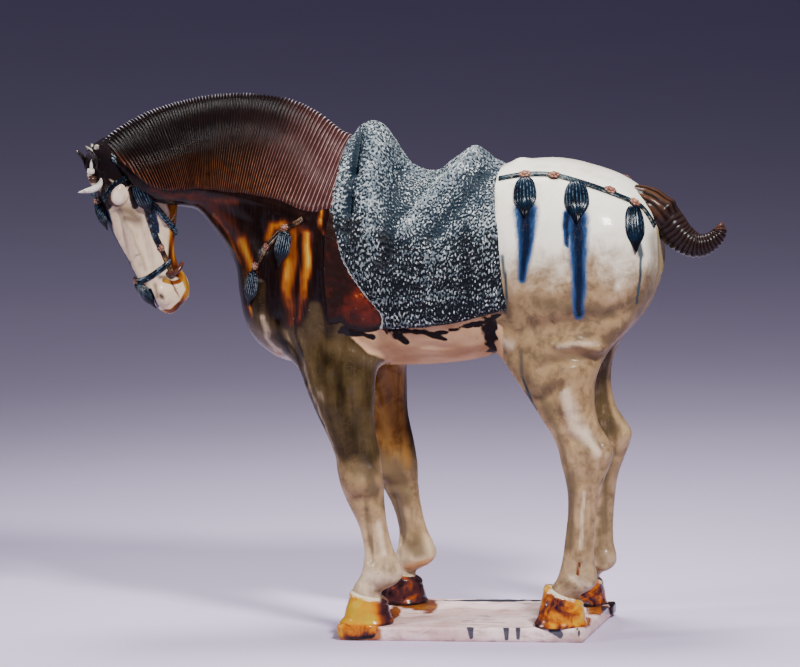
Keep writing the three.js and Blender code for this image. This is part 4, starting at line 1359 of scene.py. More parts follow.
for side, word in ((1, "Left"), (-1, "Right")):
    path = [(167, -14, side * 21), (171, -20, side * 24.5), (170, -29, side * 25), (166, -37, side * 22)]
    bitBars.append(makeBar("bitCheek" + word, path, [2.2, 3.2, 3.0, 2.4]))
print("bridle made")


# Pad under the cover: it shows in front of the cover's edge, down to a ragged hem
padFront = [(212, 330), (240, 325), (280, 324), (322, 328), (345, 331)]  # photo height, photo x
padBack = [(212, 336), (240, 342), (280, 366), (310, 388), (322, 389), (345, 386)]
padShape = {
    "rows": 110, "columns": 60, "step": 5, "thickness": 2.4,
    "top": 213.0, "hem": 322.0, "hemDrop": 9.0, "ragged": 3.6,  # in photo pixels
}


def makePads():
    rows, columns, step = padShape["rows"], padShape["columns"], padShape["step"]
    across, down = np.meshgrid(np.linspace(0, 1, columns + 1), np.linspace(0, 1, rows + 1))
    hem = padShape["hem"] + padShape["hemDrop"] * smoothStep(0.05, 0.55, across)
    hem = hem + padShape["ragged"] * softNoise(across[..., None] * [9, 0, 0], 1.0, 42)
    py = mixed(padShape["top"], hem, down)
    px = mixed(readRows(padFront, py)[0], readRows(padBack, py)[0], across)
    places, normals = dropOn(bodyTree, np.stack([px.ravel(), py.ravel()], -1))
    edge = np.minimum(across, 1 - down).ravel()
    swell = padShape["thickness"] * (0.25 + 0.75 * smoothStep(0, 0.05, edge))
    made = []
    for word in ("Left", "Right"):
        if word == "Right":
            places, normals = settle(bodyTree, acrossBody(places))
        lift = swell + 0.7 * softNoise(places, 14 * unit, 43)
        outer = (places + normals * (lift * unit)[:, None]).reshape(*across.shape, 3)
        inner = (places - normals * 3 * unit).reshape(*across.shape, 3)[::step, ::step]
        made.append(makeShell("saddlePad" + word, outer, inner, step, down=down, across=across))
    return made


pads = makePads()


# Slab: a low clay tile with worn edges
def makeSlab():
    lows = np.array([slabSize["front"], -slabSize["side"], 0.0]) * unit
    highs = np.array([slabSize["back"], slabSize["side"], slabSize["thickness"]]) * unit
    bpy.ops.mesh.primitive_cube_add(size=1.0)
    piece = bpy.context.object
    piece.name = "slab"
    setPoints(piece, pointsOf(piece) * (highs - lows) + (lows + highs) / 2)
    bevel = piece.modifiers.new("edges", "BEVEL")
    bevel.width, bevel.segments = 1.6 * unit, 3
    remesh = piece.modifiers.new("grain", "REMESH")
    remesh.mode, remesh.voxel_size = "VOXEL", 2.4 * unit
    for modifier in ("edges", "grain"):
        bpy.ops.object.modifier_apply(modifier=modifier)
    points, normals = pointsOf(piece), normalsOf(piece)
    side = np.minimum(points[:, :2] - lows[:2], highs[:2] - points[:, :2]).min(axis=1) / unit
    top = (highs[2] - points[:, 2]) / unit
    bottom = points[:, 2] / unit
    wave = 0.5 * softNoise(points, 40 * unit, 51) + 0.35 * softNoise(points, 9 * unit, 52) - 0.55
    corner = np.exp(-((side + np.minimum(top, bottom)) / 3.0) ** 2)
    chips = np.clip(softNoise(points, 6 * unit, 53) - 0.25, 0, 1) * 3.2 * corner
    lift = (wave - chips) * smoothStep(0.2, 1.2, bottom)
    points = points + normals * (lift * unit)[:, None]
    setPoints(piece, np.clip(points, lows, highs))
    bpy.ops.object.shade_smooth()
    piece.select_set(False)
    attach(piece, "root")
    return piece


slab = makeSlab()
for model in (tasselMade, rosetteMade):
    bpy.data.objects.remove(model)
print("pad and slab made:", len(slab.data.polygons), "faces")


# Glaze areas, painted shade and painted highlights, all painted from a few named paths of the photograph;
# both sides are treated alike
coverEdge = [(130, 344), (170, 332), (200, 324), (227, 328), (256, 340), (286, 357), (317, 380), (345, 392)]
amberStripes = [  # path, half width in pixels, tone from 0 black-brown to 1 yellow; later ones lie on top
    ([(196, 198), (214, 208), (232, 226), (243, 243)], 8, 0.25),
    ([(241, 242), (249, 262), (254, 284)], 5.5, 0.74),
    ([(214, 214), (228, 236), (240, 262)], 2.2, 0.46),
    ([(246, 211), (264, 216), (302, 219)], 7, 0.04),
    ([(150, 190), (170, 196), (200, 197), (236, 203)], 4.5, 0.34),
    ([(257, 224), (263, 250)], 5.5, 0.05),
    ([(284, 224), (273, 226), (269, 240)], 5, 0.62),
    ([(296, 236), (295, 262), (294, 294)], 13, 0.58),
    ([(294, 292), (295, 318)], 10, 0.32),
    ([(307, 234), (308, 258), (307, 276)], 4.2, 0.96),
    ([(307, 272), (304, 296)], 3.6, 0.72),
    ([(304, 292), (300, 318)], 3, 0.46),
    ([(287, 262), (286, 288)], 4.4, 0.84),
    ([(286, 284), (289, 306)], 4, 0.62),
    ([(289, 302), (292, 324)], 3.2, 0.4),
    ([(302, 226), (298, 262), (296, 300), (297, 332), (303, 356)], 2, 0.1),
    ([(272, 266), (276, 300), (279, 330), (287, 352)], 3.8, 0.03),
    ([(317, 220), (317, 270), (320, 312)], 6, 0.04),
    ([(321.5, 207), (322, 231)], 2, 0.92),
    ([(250, 306), (254, 318)], 3, 0.75),
    ([(579, 563), (579, 575)], 4, 0.48),
]
# the lightest strokes, at the bottom of the chest and at the elbow, are painted highlights
oliveStreaks = [  # path, half width, lightness
    ([(261, 278), (260, 318)], 7, 0.1),
    ([(262, 318), (268, 340), (284, 358)], 6, 0.95),
    ([(286, 330), (292, 350)], 4, 0.75),
    ([(312, 300), (314, 330), (330, 350)], 7, 0.42),
    ([(334, 346), (350, 350), (374, 361)], 9, 0.62),
    ([(300, 340), (310, 366), (322, 400)], 4.5, 0.68),
    ([(345, 344), (349, 415)], 3, 0.5),
    ([(352, 425), (356, 470)], 4, 0.15),
    ([(303, 368), (311, 390), (324, 424), (336, 456), (343, 476)], 3.6, 0.82),
    ([(281, 336), (297, 354), (304, 380), (316, 412), (328, 446)], 1.5, -0.1),
    ([(270, 262), (275, 300), (279, 330), (287, 352)], 3, -0.2),
    ([(297, 292), (297, 330), (303, 356)], 1.8, -0.1),
    ([(330, 372), (340, 440)], 6, 0.42),
    ([(366, 460), (368, 472)], 7, 0.1),
]
blueRuns = [  # path, half width at the start and at the end, in pixels
    ([(526, 212), (526, 240), (522, 279)], 17, 6),
    ([(577, 218), (578, 250), (579, 314)], 16, 7.5),
    ([(567, 214), (566, 244)], 6, 3),
]
tealRuns = [  # path, half width, strength
    ([(638, 243), (641, 255)], 4, 1),
    ([(641, 252), (640, 275), (636, 303)], 1.6, 1),
    ([(502, 256), (505, 276)], 2.6, 0.8),
    ([(505, 272), (507, 296), (505, 313)], 1.9, 0.9),
    ([(521, 352), (522, 376)], 3.6, 0.55),
    ([(523, 378), (528, 394), (536, 410)], 1.7, 0.9),
]
hemStains = [
    ([(384, 328), (402, 331), (430, 333), (447, 332)], 4.6, 4.2),
    ([(395, 333), (405, 340)], 6.5, 4.5),
    ([(426, 333), (445, 340)], 7, 3.5),
    ([(452, 329), (480, 322), (500, 315)], 3.2, 4.2),
    ([(340, 330), (352, 334), (372, 336)], 6, 5),
    ([(489, 322), (491, 336), (493, 348)], 12, 9),
]
# painted shade in hollows and under ridges (above 0) and painted highlights on ridges and swellings (below
# 0) over legs, belly and chest; a few strokes are darker glaze and soil
shadingStrokes = [  # path, half width, darker above 0 and lighter below it
    ([(540, 302), (575, 308), (610, 312)], 11, 0.7),
    ([(535, 356), (565, 360), (602, 352)], 6, 0.62),
    ([(558, 346), (578, 344), (598, 345)], 4.5, -0.45),
    ([(504, 342), (512, 346)], 7, -0.45),
    ([(518, 366), (550, 404)], 11, 0.55),
    ([(564, 392), (577, 428)], 11, -0.55),
    ([(541, 402), (552, 392), (563, 386)], 3, 0.5),
    ([(546, 408), (560, 436), (567, 464)], 6, 0.75),
    ([(586, 436), (601, 455)], 8, -0.65),
    ([(600, 434), (604, 452), (600, 470)], 2.6, 0.55),
    ([(571, 474), (570, 500), (569, 545)], 7, 0.95),
    ([(584, 492), (580, 548)], 3.4, -0.55),
    ([(591, 488), (589, 550)], 2.6, 0.5),
    ([(572, 578), (590, 588)], 6, -0.45),
    ([(352, 468), (374, 470)], 8, 0.75),
    ([(354, 482), (370, 492)], 9, 0.45),
    ([(350, 500), (358, 520)], 5, 0.4),
    ([(366, 502), (372, 552)], 3.4, 0.75),
    ([(377, 512), (383, 552)], 4.5, -0.6),
    ([(369, 478), (376, 498), (379, 516)], 6, 0.6),
    ([(368, 574), (395, 578)], 8, -0.45),
    ([(376, 590), (390, 592)], 3, 0.6),
    ([(405, 357), (450, 355), (492, 346)], 4.5, 0.45),
    ([(400, 346), (450, 343)], 4.5, -0.3),
    ([(652, 236), (655, 262), (648, 288), (634, 312)], 7, 0.7),
    ([(530, 167), (575, 169), (615, 183), (640, 200)], 5, 0.22),
    ([(262, 322), (272, 344), (284, 356)], 4.5, -0.8),
]
# the far legs are darker: partly brown glaze, partly painted shade
farShadingStrokes = [  # the same for the far legs, which stand apart from the near ones
    ([(386, 446), (395, 482), (405, 520), (417, 552)], 13, 0.95),
    ([(598, 372), (601, 410), (608, 436)], 9, 0.6),
    ([(612, 452), (606, 482), (601, 560)], 12, 0.6),
]
soilPatches = [([(525, 322), (560, 312), (620, 318)], 14, 1), ([(520, 370), (545, 400)], 14, 1)]
headDark = [  # path, half width, strength
    ([(100, 160), (112, 170), (126, 176)], 14, 1), ([(98, 178), (108, 186), (106, 203)], 9, 1),
    ([(91, 190), (101, 200)], 6, 1), ([(126, 164), (137, 178), (147, 197)], 9, 1),
    ([(131, 190), (135, 206)], 4.5, 1),
]
headRuns = [  # path, half width at the start and at the end
    ([(106, 212), (113, 236), (122, 256), (131, 280)], 4.4, 3),
    ([(150, 290), (154, 300), (158, 307)], 2.2, 1.2), ([(150, 200), (158, 232)], 4.5, 2.5),
]
# painted shade in the face's creases: below the eye, down the cheek and in the nostril
headFoldShade = [  # path, half width, strength
    ([(121, 209), (130, 212), (137, 220)], 8.5, 1), ([(126, 218), (135, 221)], 6, 1),
    ([(126, 223), (131, 231), (136, 244), (141, 256), (146, 270)], 2.3, 0.5),
    ([(147, 226), (152, 250), (154, 268)], 2.5, 0.3), ([(131, 262), (134, 274)], 3, 0.5),
    ([(155.5, 286), (157.5, 297)], 3, 0.9),
]
hoofTones = [  # how dark the whole is, how calm its glaze lies, and its darker patches
    (-0.2, 0.85, [([(385, 600), (387, 622)], 10, 0.72)]), (0.52, 0.45, []),
    (0.06, 0.1, [([(556, 604), (568, 612)], 9, 0.3)]), (0.3, 0, []),
    (0.12, 0.2, [([(345, 640), (376, 638)], 5, 0.6)]), (0.7, 0, []),
]
slabAmber = [  # path, half width, strength
    ([(346, 634), (372, 634)], 12, 1), ([(395, 612), (386, 618)], 7, 1), ([(398, 600), (430, 606)], 9, 1),
    ([(545, 620), (585, 622)], 8, 1), ([(592, 610), (606, 610)], 7, 1),
]
slabRuns = [  # down the edge towards the viewer: path, half width at the start and at the end
    ([(470, 627), (471, 638)], 4.6, 2.4), ([(506, 627), (507, 639)], 4.4, 2.6),
    ([(518, 627), (518, 638)], 3.8, 2.4), ([(553, 629), (560, 635)], 6.5, 5),
    ([(470, 622), (471, 627)], 3, 3.6), ([(577, 625), (580, 637)], 1.6, 1.2),
]


def stripeWeight(spots, path, width):
    return np.exp(-((pathDistance(spots, path)[0] / width) ** 2) * 1.3)


def runWeight(spots, path, start, end):
    # 1 along the middle of a run, 0 at its edges and past its ends
    gap, share = pathDistance(spots, path)
    return np.clip(1 - gap / mixed(start, end, share), 0, 1)


def strongest(spots, rows):
    return np.maximum.reduce([stripeWeight(spots, path, width) * strength for path, width, strength in rows])


def strongestRun(spots, rows):
    return np.maximum.reduce([runWeight(spots, *row) for row in rows])


def summed(spots, rows):
    return sum(stripeWeight(spots, path, width) * strength for path, width, strength in rows)


def layered(spots, rows, tone):
    # stripes of their own tone laid over one another
    for path, width, value in rows:
        tone = mixed(tone, value, stripeWeight(spots, path, width))
    return tone


def wobbled(points, spots, amount, seed):
    shift = [softNoise(points * [1, 1, 0.35], 9 * unit, seed + k) for k in range(2)]
    return spots + np.stack(shift, -1) * amount


def feathered(points, spots, amount, seed):
    # edges that break up into upright threads, as running glaze does
    thread = softNoise(points * [1, 1, 0.1], 3.6 * unit, seed)
    return spots + np.stack([thread * amount, 0 * thread], -1)


def paintBody():
    points, normals = pointsOf(horseBody), normalsOf(horseBody)
    spots = toPhoto(nearSide(points))
    loose = feathered(points, wobbled(points, spots, 1.8, 61), 1.6, 63)
    slack = wobbled(points, spots, 0.9, 67)
    px, py = loose.T
    x, height = points[:, 0] / unit, points[:, 2] / unit - slabSize["thickness"]
    aside = np.abs(points[:, 1]) / unit
    swell = softNoise(points * [1, 1, 0.35], 18 * unit, 64)

    # amber on neck and shoulder, as far back as the cover
    coverX, = readRows(coverEdge, np.clip(py, 130, 345))
    amber = (1 - smoothStep(4, 10, px - coverX)) * (1 - smoothStep(302, 350, py + 12 * swell))
    amber = amber * (1 - stripeWeight(loose, [(259, 286), (260, 330)], 9))
    amber = amber * (1 - 0.8 * stripeWeight(loose, [(316, 306), (318, 340)], 9))
    amber = np.maximum(amber, stripeWeight(slack, [(579, 564), (578.5, 574)], 1.7))
    tone = layered(loose, amberStripes, 0.09 + 0.05 * softNoise(points * [1, 1, 0.12], 13 * unit, 65))

    # olive streaks down the chest and the forelegs, and between the thighs
    olive = (1 - smoothStep(-62, -38, x)) * smoothStep(262, 292, py)
    olive = olive * (1 - smoothStep(440, 496, py - 12 * swell)) * (1 - smoothStep(374, 398, px - 5 * swell))
    light = 0.3 + 0.25 * swell + 0.5 * smoothStep(0.55, 0.95, -normals[:, 0]) * smoothStep(330, 370, py)
    light = layered(loose, oliveStreaks, light)
    between = (1 - smoothStep(44, 58, aside)) * smoothStep(40, 60, x) * smoothStep(190, 230, height)
    between = between * (1 - smoothStep(310, 345, height + 12 * swell))
    olive, light = np.maximum(olive, 0.85 * between), np.maximum(light, 0.66 * between)
    ochre = (1 - smoothStep(52, 66, aside)) * (height < 330) * (1 - smoothStep(20, 60, x))

    # dark glaze that ran below the cover's hem
    frayed, blotch = wobbled(points, spots, 2.0, 68), 0.35 * softNoise(points, 7 * unit, 70)
    stain = np.zeros(len(points))
    for row in hemStains:
        run = runWeight(frayed, *row)
        stain = np.maximum(stain, run + (run > 0) * blotch)

    # soil and painted shade that darken the rump and the legs towards the bottom, painted shade and
    # highlights from the strokes, and warmer cream on the legs
    soil = smoothStep(222, 310, py + 15 * softNoise(points, 40 * unit, 69)) * smoothStep(460, 500, px)
    soil = soil * (1 - 0.35 * smoothStep(395, 430, py))
    lower = smoothStep(375, 440, py) * (1 - smoothStep(440, 460, px))
    lower = lower * (0.45 + 0.5 * (1 - smoothStep(492, 532, py)))
    soil = np.maximum.reduce([soil, lower, strongest(loose, soilPatches)])
    leg = smoothStep(235, 370, py) * (1 - 0.25 * smoothStep(545, 580, py))
    farSpots, far = toPhoto(points), smoothStep(0, 20, points[:, 1] / unit)
    dusk = summed(loose, shadingStrokes) + summed(farSpots, farShadingStrokes) * far

    # bare clay under the chest, along the belly and at the far fetlock, and glaze below the tail
    under = (1 - smoothStep(-0.35, 0.0, normals[:, 2])) * (height > 250) * smoothStep(-88, -76, x) * (x < 45)
    slant = smoothStep(-9, 9, (px - 350) * 0.5 + 341 - py + 5 * swell)
    belly = smoothStep(320, 328, py) * smoothStep(338, 364, px) * slant * (1 - smoothStep(496, 508, px))
    belly = belly * (height > 285) * (1 - smoothStep(362, 372, py))
    fetlock = 0.8 * stripeWeight(farSpots, [(406, 567), (431, 561)], 4.5) * far
    rear = smoothStep(205, 225, x) * smoothStep(330, 380, height) * (1 - smoothStep(470, 500, height))
    bare = np.maximum.reduce([under, belly, fetlock])
    rear = rear * (1 - smoothStep(14, 34, aside))
    blue, teal = strongestRun(slack, blueRuns), strongest(slack, tealRuns)
    paintPoints(horseBody, amber=amber, tone=tone, stain=stain, soil=soil, olive=olive, ochre=ochre,
                light=light, leg=leg, dusk=dusk, bare=bare, rear=rear, blue=blue, teal=teal)


def paintHead():
    points = pointsOf(horseHead)
    t, d, s = toHead(points).T
    loose = wobbled(points, toPhoto(nearCheek(points)), 1.0, 71)
    jaw = smoothStep(-64, -72, d + 4 * softNoise(points, 12 * unit, 72)) * (1 - smoothStep(110, 135, t))
    throat = stripeWeight(loose, [(170, 194), (176, 212), (176, 235), (173, 262), (181, 272)], 7.5)
    lips = stripeWeight(loose, [(160, 313), (172, 311), (183, 302), (188, 290), (184, 277)], 3.4)
    corner = stripeWeight(loose, [(165, 281), (172, 283), (178, 281), (184, 278)], 2.9)
    amber = np.clip(np.maximum.reduce([throat * 1.3, jaw, lips, corner]), 0, 1)
    tone = 0.58 + 0.38 * softNoise(points * [1, 1, 0.3], 7 * unit, 73)
    poll = 1 - smoothStep(6, 18, t + 5 * softNoise(points, 10 * unit, 74))
    ridge = np.exp(-((s / 4.0) ** 2)) * smoothStep(56, 66, t) * (1 - smoothStep(150, 165, t)) * 0.9

    # painted shade in the creases: round the rim of the eye, along the mouth, in the nostril and at the
    # corner of the mouth by the bit
    away = np.stack([t, d], -1) - eyePlace["middle"][:2]
    longWay, shortWay = (away @ eyePlace[way] / (eyeSize[way] + 1.6) for way in ("long", "short"))
    line = 0.8 * np.exp(-(((np.hypot(longWay, shortWay) - 1.0) / 0.09) ** 2)) * (d > -40) * (d < 14)
    line = line * smoothStep(-0.6, 0.4, longWay)
    line = line + 0.3 * np.exp(-(((d + 14) / 1.6) ** 2)) * smoothStep(172, 180, t)
    line = line + np.exp(-(((t - 190) / 6.0) ** 2 + ((d - 6) / 3.4) ** 2)) * (np.abs(s) > 14)
    line = np.clip(line + stripeWeight(loose, [(160, 277.5), (172, 278)], 2.6), 0, 1)
    even = {"soil": 0.30, "leg": 0.45,
            **dict.fromkeys(("bare", "rear", "olive", "ochre", "light", "dusk", "teal"), 0.0)}
    paintPoints(horseHead, amber=amber, tone=tone, line=line, fold=strongest(loose, headFoldShade),
                blue=np.maximum(strongestRun(loose, headRuns), ridge),
                stain=np.maximum(strongest(loose, headDark), poll),
                **{name: np.full(len(points), value) for name, value in even.items()})


def paintHooves():
    for hoof, (whole, calm, patches) in zip(hooves + flows, hoofTones):
        points = pointsOf(hoof)
        dark = np.full(len(points), whole) + summed(wobbled(points, toPhoto(points), 2.0, 77), patches)
        paintPoints(hoof, dark=dark, calm=np.full(len(points), calm))


def paintSlab():
    points = pointsOf(slab)
    spots, side = wobbled(points, toPhoto(points), 1.2, 81), points[:, 1] / unit
    edge = strongestRun(spots, slabRuns) * (side < 5 - slabSize["side"])
    # a dark band along the far edge of the top
    farEdgeDark = runWeight(spots, [(398, 605), (470, 602), (541, 599)], 4.5, 2.2) * (side > slabSize["side"] - 22)
    corner = runWeight(spots, [(603, 608), (608, 614)], 3.0, 2.0)
    paintPoints(slab, amber=strongest(spots, slabAmber), blue=np.maximum.reduce([edge, farEdgeDark, corner]))


paintBody()
paintHead()
paintHooves()
paintSlab()
print("glaze areas painted")


# Materials
class Value:
    # one output of a shader, so that arithmetic on it reads like arithmetic on a number
    def __init__(self, paint, socket):
        self.paint, self.socket = paint, socket

    def __add__(self, other):
        return self.paint.math("ADD", self, other)

    def __sub__(self, other):
        return self.paint.math("SUBTRACT", self, other)

    def __rsub__(self, other):
        return self.paint.math("SUBTRACT", other, self)

    def __mul__(self, other):
        return self.paint.math("MULTIPLY", self, other)

    __radd__ = __add__
    __rmul__ = __mul__

    def most(self, other):
        return self.paint.math("MAXIMUM", self, other)

    def step(self, low, high):
        # smooth rise from 0 at low to 1 at high
        inputs = {"Value": self, "From Min": low, "From Max": high}
        return self.paint.node("ShaderNodeMapRange", {"interpolation_type": "SMOOTHSTEP"}, inputs)


class Paint:
    # a material built node by node
    def __init__(self, name):
        self.material = bpy.data.materials.new(name)
        self.material.use_nodes = True
        self.tree = self.material.node_tree
        self.shader = self.tree.nodes["Principled BSDF"]
        self.place = self.node("ShaderNodeTexCoord", {}, {}, "Object")

    def node(self, kind, settings, inputs, output=0):
        made = self.tree.nodes.new(kind)
        for key, value in settings.items():
            setattr(made, key, value)
        for key, value in inputs.items():
            self.feed(made.inputs[key], value)
        return Value(self, made.outputs[output])

    def feed(self, socket, value):
        if isinstance(value, Value):
            self.tree.links.new(value.socket, socket)
        else:
            socket.default_value = value

    def math(self, operation, first, second):
        return self.node("ShaderNodeMath", {"operation": operation}, {0: first, 1: second})

    def mix(self, share, first, second):
        colours = [(*c, 1.0) if isinstance(c, tuple) else c for c in (first, second)]
        return self.node("ShaderNodeMix", {"data_type": "RGBA"}, {0: share, 6: colours[0], 7: colours[1]}, 2)

    def lay(self, share, colour):
        # another coat over what is painted so far
        self.colour = self.mix(share, self.colour, colour)

    def ramp(self, value, stops):
        # stops are (place, colour)
        made = self.node("ShaderNodeValToRGB", {}, {0: value})
        elements = made.socket.node.color_ramp.elements
        while len(elements) < len(stops):
            elements.new(0.5)
        for element, (place, colour) in zip(elements, stops):
            element.position, element.color = place, (*colour, 1.0)
        return made

    def layer(self, name):
        return self.node("ShaderNodeAttribute", {"attribute_name": name}, {}, "Fac")

    def stretched(self, x, y, z):
        return self.node("ShaderNodeMapping", {}, {"Vector": self.place, "Scale": (x, y, z)})

    def noise(self, scale, detail=3.0, rough=0.55, place=None, twist=0.0):
        inputs = {"Vector": place or self.place, "Scale": scale, "Detail": detail, "Roughness": rough}
        return self.node("ShaderNodeTexNoise", {}, {**inputs, "Distortion": twist}, "Fac")

    def cells(self, scale, kind="F1", place=None):
        inputs = {"Vector": place or self.place, "Scale": scale}
        return self.node("ShaderNodeTexVoronoi", {"feature": kind}, inputs, "Distance")

    def finish(self, roughness, height, distance, coat=None, strength=0.6, shine=0.4):
        inputs = {"Height": height, "Distance": distance, "Strength": strength}
        bump = self.node("ShaderNodeBump", {}, inputs, "Normal")
        self.feed(self.shader.inputs["Base Color"], self.colour)
        self.feed(self.shader.inputs["Roughness"], roughness)
        self.feed(self.shader.inputs["Normal"], bump)
        self.shader.inputs["Specular IOR Level"].default_value = shine
        if coat is not None:
            self.feed(self.shader.inputs["Coat Weight"], coat)
            self.shader.inputs["Coat Roughness"].default_value = 0.09
        return self.material


amberStops = [
    (0, (0.004, 0.002, 0.002)), (0.16, (0.01, 0.004, 0.003)), (0.34, (0.05, 0.01, 0.004)),
    (0.52, (0.15, 0.034, 0.005)), (0.7, (0.27, 0.095, 0.008)), (0.86, (0.33, 0.185, 0.02)),
    (1, (0.43, 0.35, 0.1)),
]
creamGlaze, warmGlaze = (0.74, 0.69, 0.59), (0.58, 0.47, 0.33)
clayColour, soilColour, soilDark = (0.4, 0.215, 0.105), (0.23, 0.145, 0.075), (0.085, 0.052, 0.03)
cobaltEdge, cobaltCore = (0.02, 0.058, 0.15), (0.004, 0.007, 0.02)


def bodyPaint(name, face=False):
    paint = Paint(name)
    broad, fine = paint.noise(9.0, 5.0), paint.noise(60.0, 4.0)
    streak = paint.noise(1.0, 4.0, 0.6, paint.stretched(85.0, 85.0, 7.0), 0.4)
    thread = paint.noise(1.0, 3.0, 0.6, paint.stretched(330.0, 330.0, 22.0))
    soil, bare, stain, blue = (paint.layer(layer) for layer in ("soil", "bare", "stain", "blue"))
    cream = paint.mix(((broad - 0.42) * 2.0 + (fine - 0.5) * 0.8).step(0.0, 1.0), creamGlaze, warmGlaze)
    grain = (streak * 0.55 + paint.noise(30.0, 5.0, 0.6) * 0.45).step(0.4, 0.6)
    cream = paint.mix(paint.layer("leg"), cream, paint.mix(grain, (0.56, 0.39, 0.225), (0.36, 0.245, 0.13)))
    cloud = (paint.noise(22.0, 7.0, 0.66, None, 0.5) - 0.5) * 1.7 + 0.5
    mottle = (paint.noise(52.0, 6.0, 0.62, None, 0.3) - 0.5) * 1.6 + 0.5
    tan = paint.mix(broad.step(0.35, 0.65), (0.32, 0.192, 0.086), (0.205, 0.121, 0.052))
    # tan lower down on the rump and the legs: partly soil, partly painted shade
    worn = (soil + (cloud - 0.5) * 0.5 + (mottle - 0.5) * 0.4).step(0.08, 0.95)
    paint.colour = paint.mix(worn * 0.95, cream, tan)
    dirt = (cloud * 0.9 + mottle * 0.6 + soil * 0.5 - 0.7).step(0.0, 0.72) * soil.step(0.0, 0.8)
    paint.lay(dirt * 0.85, paint.mix(mottle.step(0.35, 0.75), soilColour, soilDark))
    # painted shade where the strokes are above 0, painted highlight where they are below it
    dusk = paint.layer("dusk") + (mottle - 0.5) * 0.25
    paint.lay(dusk.step(0.04, 0.95) * 0.85, (0.105, 0.07, 0.036))
    paint.lay((0.0 - dusk).step(0.04, 0.95) * 0.75, (0.76, 0.61, 0.45))
    if face:
        paint.lay(0.6, (0.7, 0.5, 0.32))
        # painted shade in the face's creases, from upright streaks and the fold strokes
        folds = paint.noise(1.0, 3.0, 0.5, paint.stretched(95.0, 95.0, 26.0))
        folds = (folds.step(0.46, 0.76) * 0.25).most(paint.layer("fold") * 0.85)
        paint.lay(folds, (0.095, 0.055, 0.03))
    olive = (paint.layer("olive") + (cloud - 0.5) * 0.5 + (streak - 0.5) * 0.3).step(0.05, 0.85)
    shade = paint.layer("light") + (streak - 0.5) * 0.36 + (thread - 0.5) * 0.2 + (mottle - 0.5) * 0.35
    oliveColour = paint.ramp(shade, [(0.0, (0.008, 0.005, 0.002)), (0.3, (0.03, 0.018, 0.007)),
                                     (0.65, (0.072, 0.046, 0.02)), (1.0, (0.34, 0.25, 0.17))])
    blend = (streak * 0.5 + mottle * 0.5).step(0.38, 0.62)
    ochreColour = paint.mix(blend, (0.125, 0.048, 0.009), (0.25, 0.118, 0.028))
    paint.lay(olive, paint.mix(paint.layer("ochre"), oliveColour, ochreColour))
    tone = paint.layer("tone") + (streak - 0.5) * 0.34 + (thread - 0.5) * 0.26
    amber = (paint.layer("amber") + (streak - 0.5) * 0.5).step(0.22, 0.62)
    paint.lay(amber, paint.ramp(tone, amberStops))
    rear = (paint.layer("rear") + (streak - 0.5) * 0.5).step(0.2, 0.6)
    rearColour = paint.ramp(streak, [(0.3, (0.05, 0.03, 0.015)), (0.7, (0.42, 0.3, 0.08))])
    paint.lay(rear * 0.8, rearColour)
    clay = paint.mix(paint.noise(30.0, 6.0).step(0.35, 0.65), clayColour, (0.5, 0.3, 0.165))
    # painted shade from the same strokes darkens the bare clay
    clay = paint.mix(dusk.step(0.05, 0.9) * 0.6, clay, (0.16, 0.085, 0.05))
    bareShare = (bare + (fine - 0.5) * 0.5).step(0.3, 0.6)
    paint.lay(bareShare, clay)
    run = (blue + (fine - 0.5) * 0.2 + (thread - 0.5) * 0.3).step(0.0, 0.5)
    core = (blue + (thread - 0.5) * 0.6).step(0.3, 0.86)
    edge = (0.01, 0.024, 0.06) if face else cobaltEdge
    paint.lay(run, paint.mix(core, edge, cobaltCore))
    drop = (paint.layer("teal") + (fine - 0.5) * 0.3).step(0.12, 0.8)
    tealColour = paint.mix(fine.step(0.35, 0.65), (0.006, 0.018, 0.03), (0.016, 0.048, 0.062))
    paint.lay(drop * 0.92, tealColour)
    stained = (stain + (fine - 0.5) * 0.8).step(0.25, 0.55)
    paint.lay(stained, paint.mix(fine, (0.01, 0.004, 0.003), (0.005, 0.005, 0.008)))
    if face:
        # painted shade in the creases of eye, mouth and nostril
        paint.lay(paint.layer("line") * 0.85, (0.045, 0.024, 0.016))
    pits = paint.cells(170.0).step(0.06, 0.16)
    speck = paint.cells(40.0).step(0.03, 0.055)
    paint.lay((1.0 - speck) * 0.6, (0.11, 0.07, 0.05))
    craze = (1.0 - paint.cells(135.0, "DISTANCE_TO_EDGE").step(0.0, 0.03)) * (1.0 - amber)
    paint.lay(craze * cloud.step(0.45, 0.7) * 0.22, (0.2, 0.13, 0.08))
    roughness = 0.14 + fine * 0.1 + dirt * (1.0 - stained) * (1.0 - amber) * 0.3 + bareShare * 0.45
    height = fine * 0.5 + pits * 0.25 + streak * amber * 0.6 - dirt * 0.3
    coat = (1.0 - bareShare) * (1.0 - dirt * 0.8) * 0.13
    return paint.finish(roughness, height, 0.001, coat, 0.4, 0.07)


hoofStops = [
    (0, (0.008, 0.004, 0.005)), (0.25, (0.048, 0.014, 0.016)), (0.45, (0.2, 0.04, 0.007)),
    (0.66, (0.4, 0.115, 0.004)), (0.84, (0.45, 0.19, 0.006)), (1, (0.42, 0.27, 0.014)),
]


def hoofPaint():
    paint = Paint("hoofGlaze")
    broad = paint.noise(48.0, 5.0, 0.6, None, 0.8)
    fine = paint.noise(160.0, 4.0)
    streak = paint.noise(1.0, 4.0, 0.6, paint.stretched(130.0, 130.0, 45.0), 0.6)
    dark, wild = paint.layer("dark"), 1.0 - paint.layer("calm") * 0.8
    tone = 0.74 - (broad - 0.48) * wild * 2.4 + (streak - 0.5) * wild * 0.7 - dark
    tone = tone - (1.0 - paint.layer("rise").step(0.0, 0.12)) * 0.25
    pale = (paint.layer("rise") + (fine - 0.5) * 0.25).step(0.9, 0.99) * broad.step(0.4, 0.52)
    pale = pale * (1.0 - dark.step(0.2, 0.5))
    paint.colour = paint.mix(pale, paint.ramp(tone, hoofStops), (0.6, 0.5, 0.36))
    return paint.finish(0.14 + fine * 0.12, fine * 0.3 + broad, 0.0008, 0.06, 0.4, 0.16)


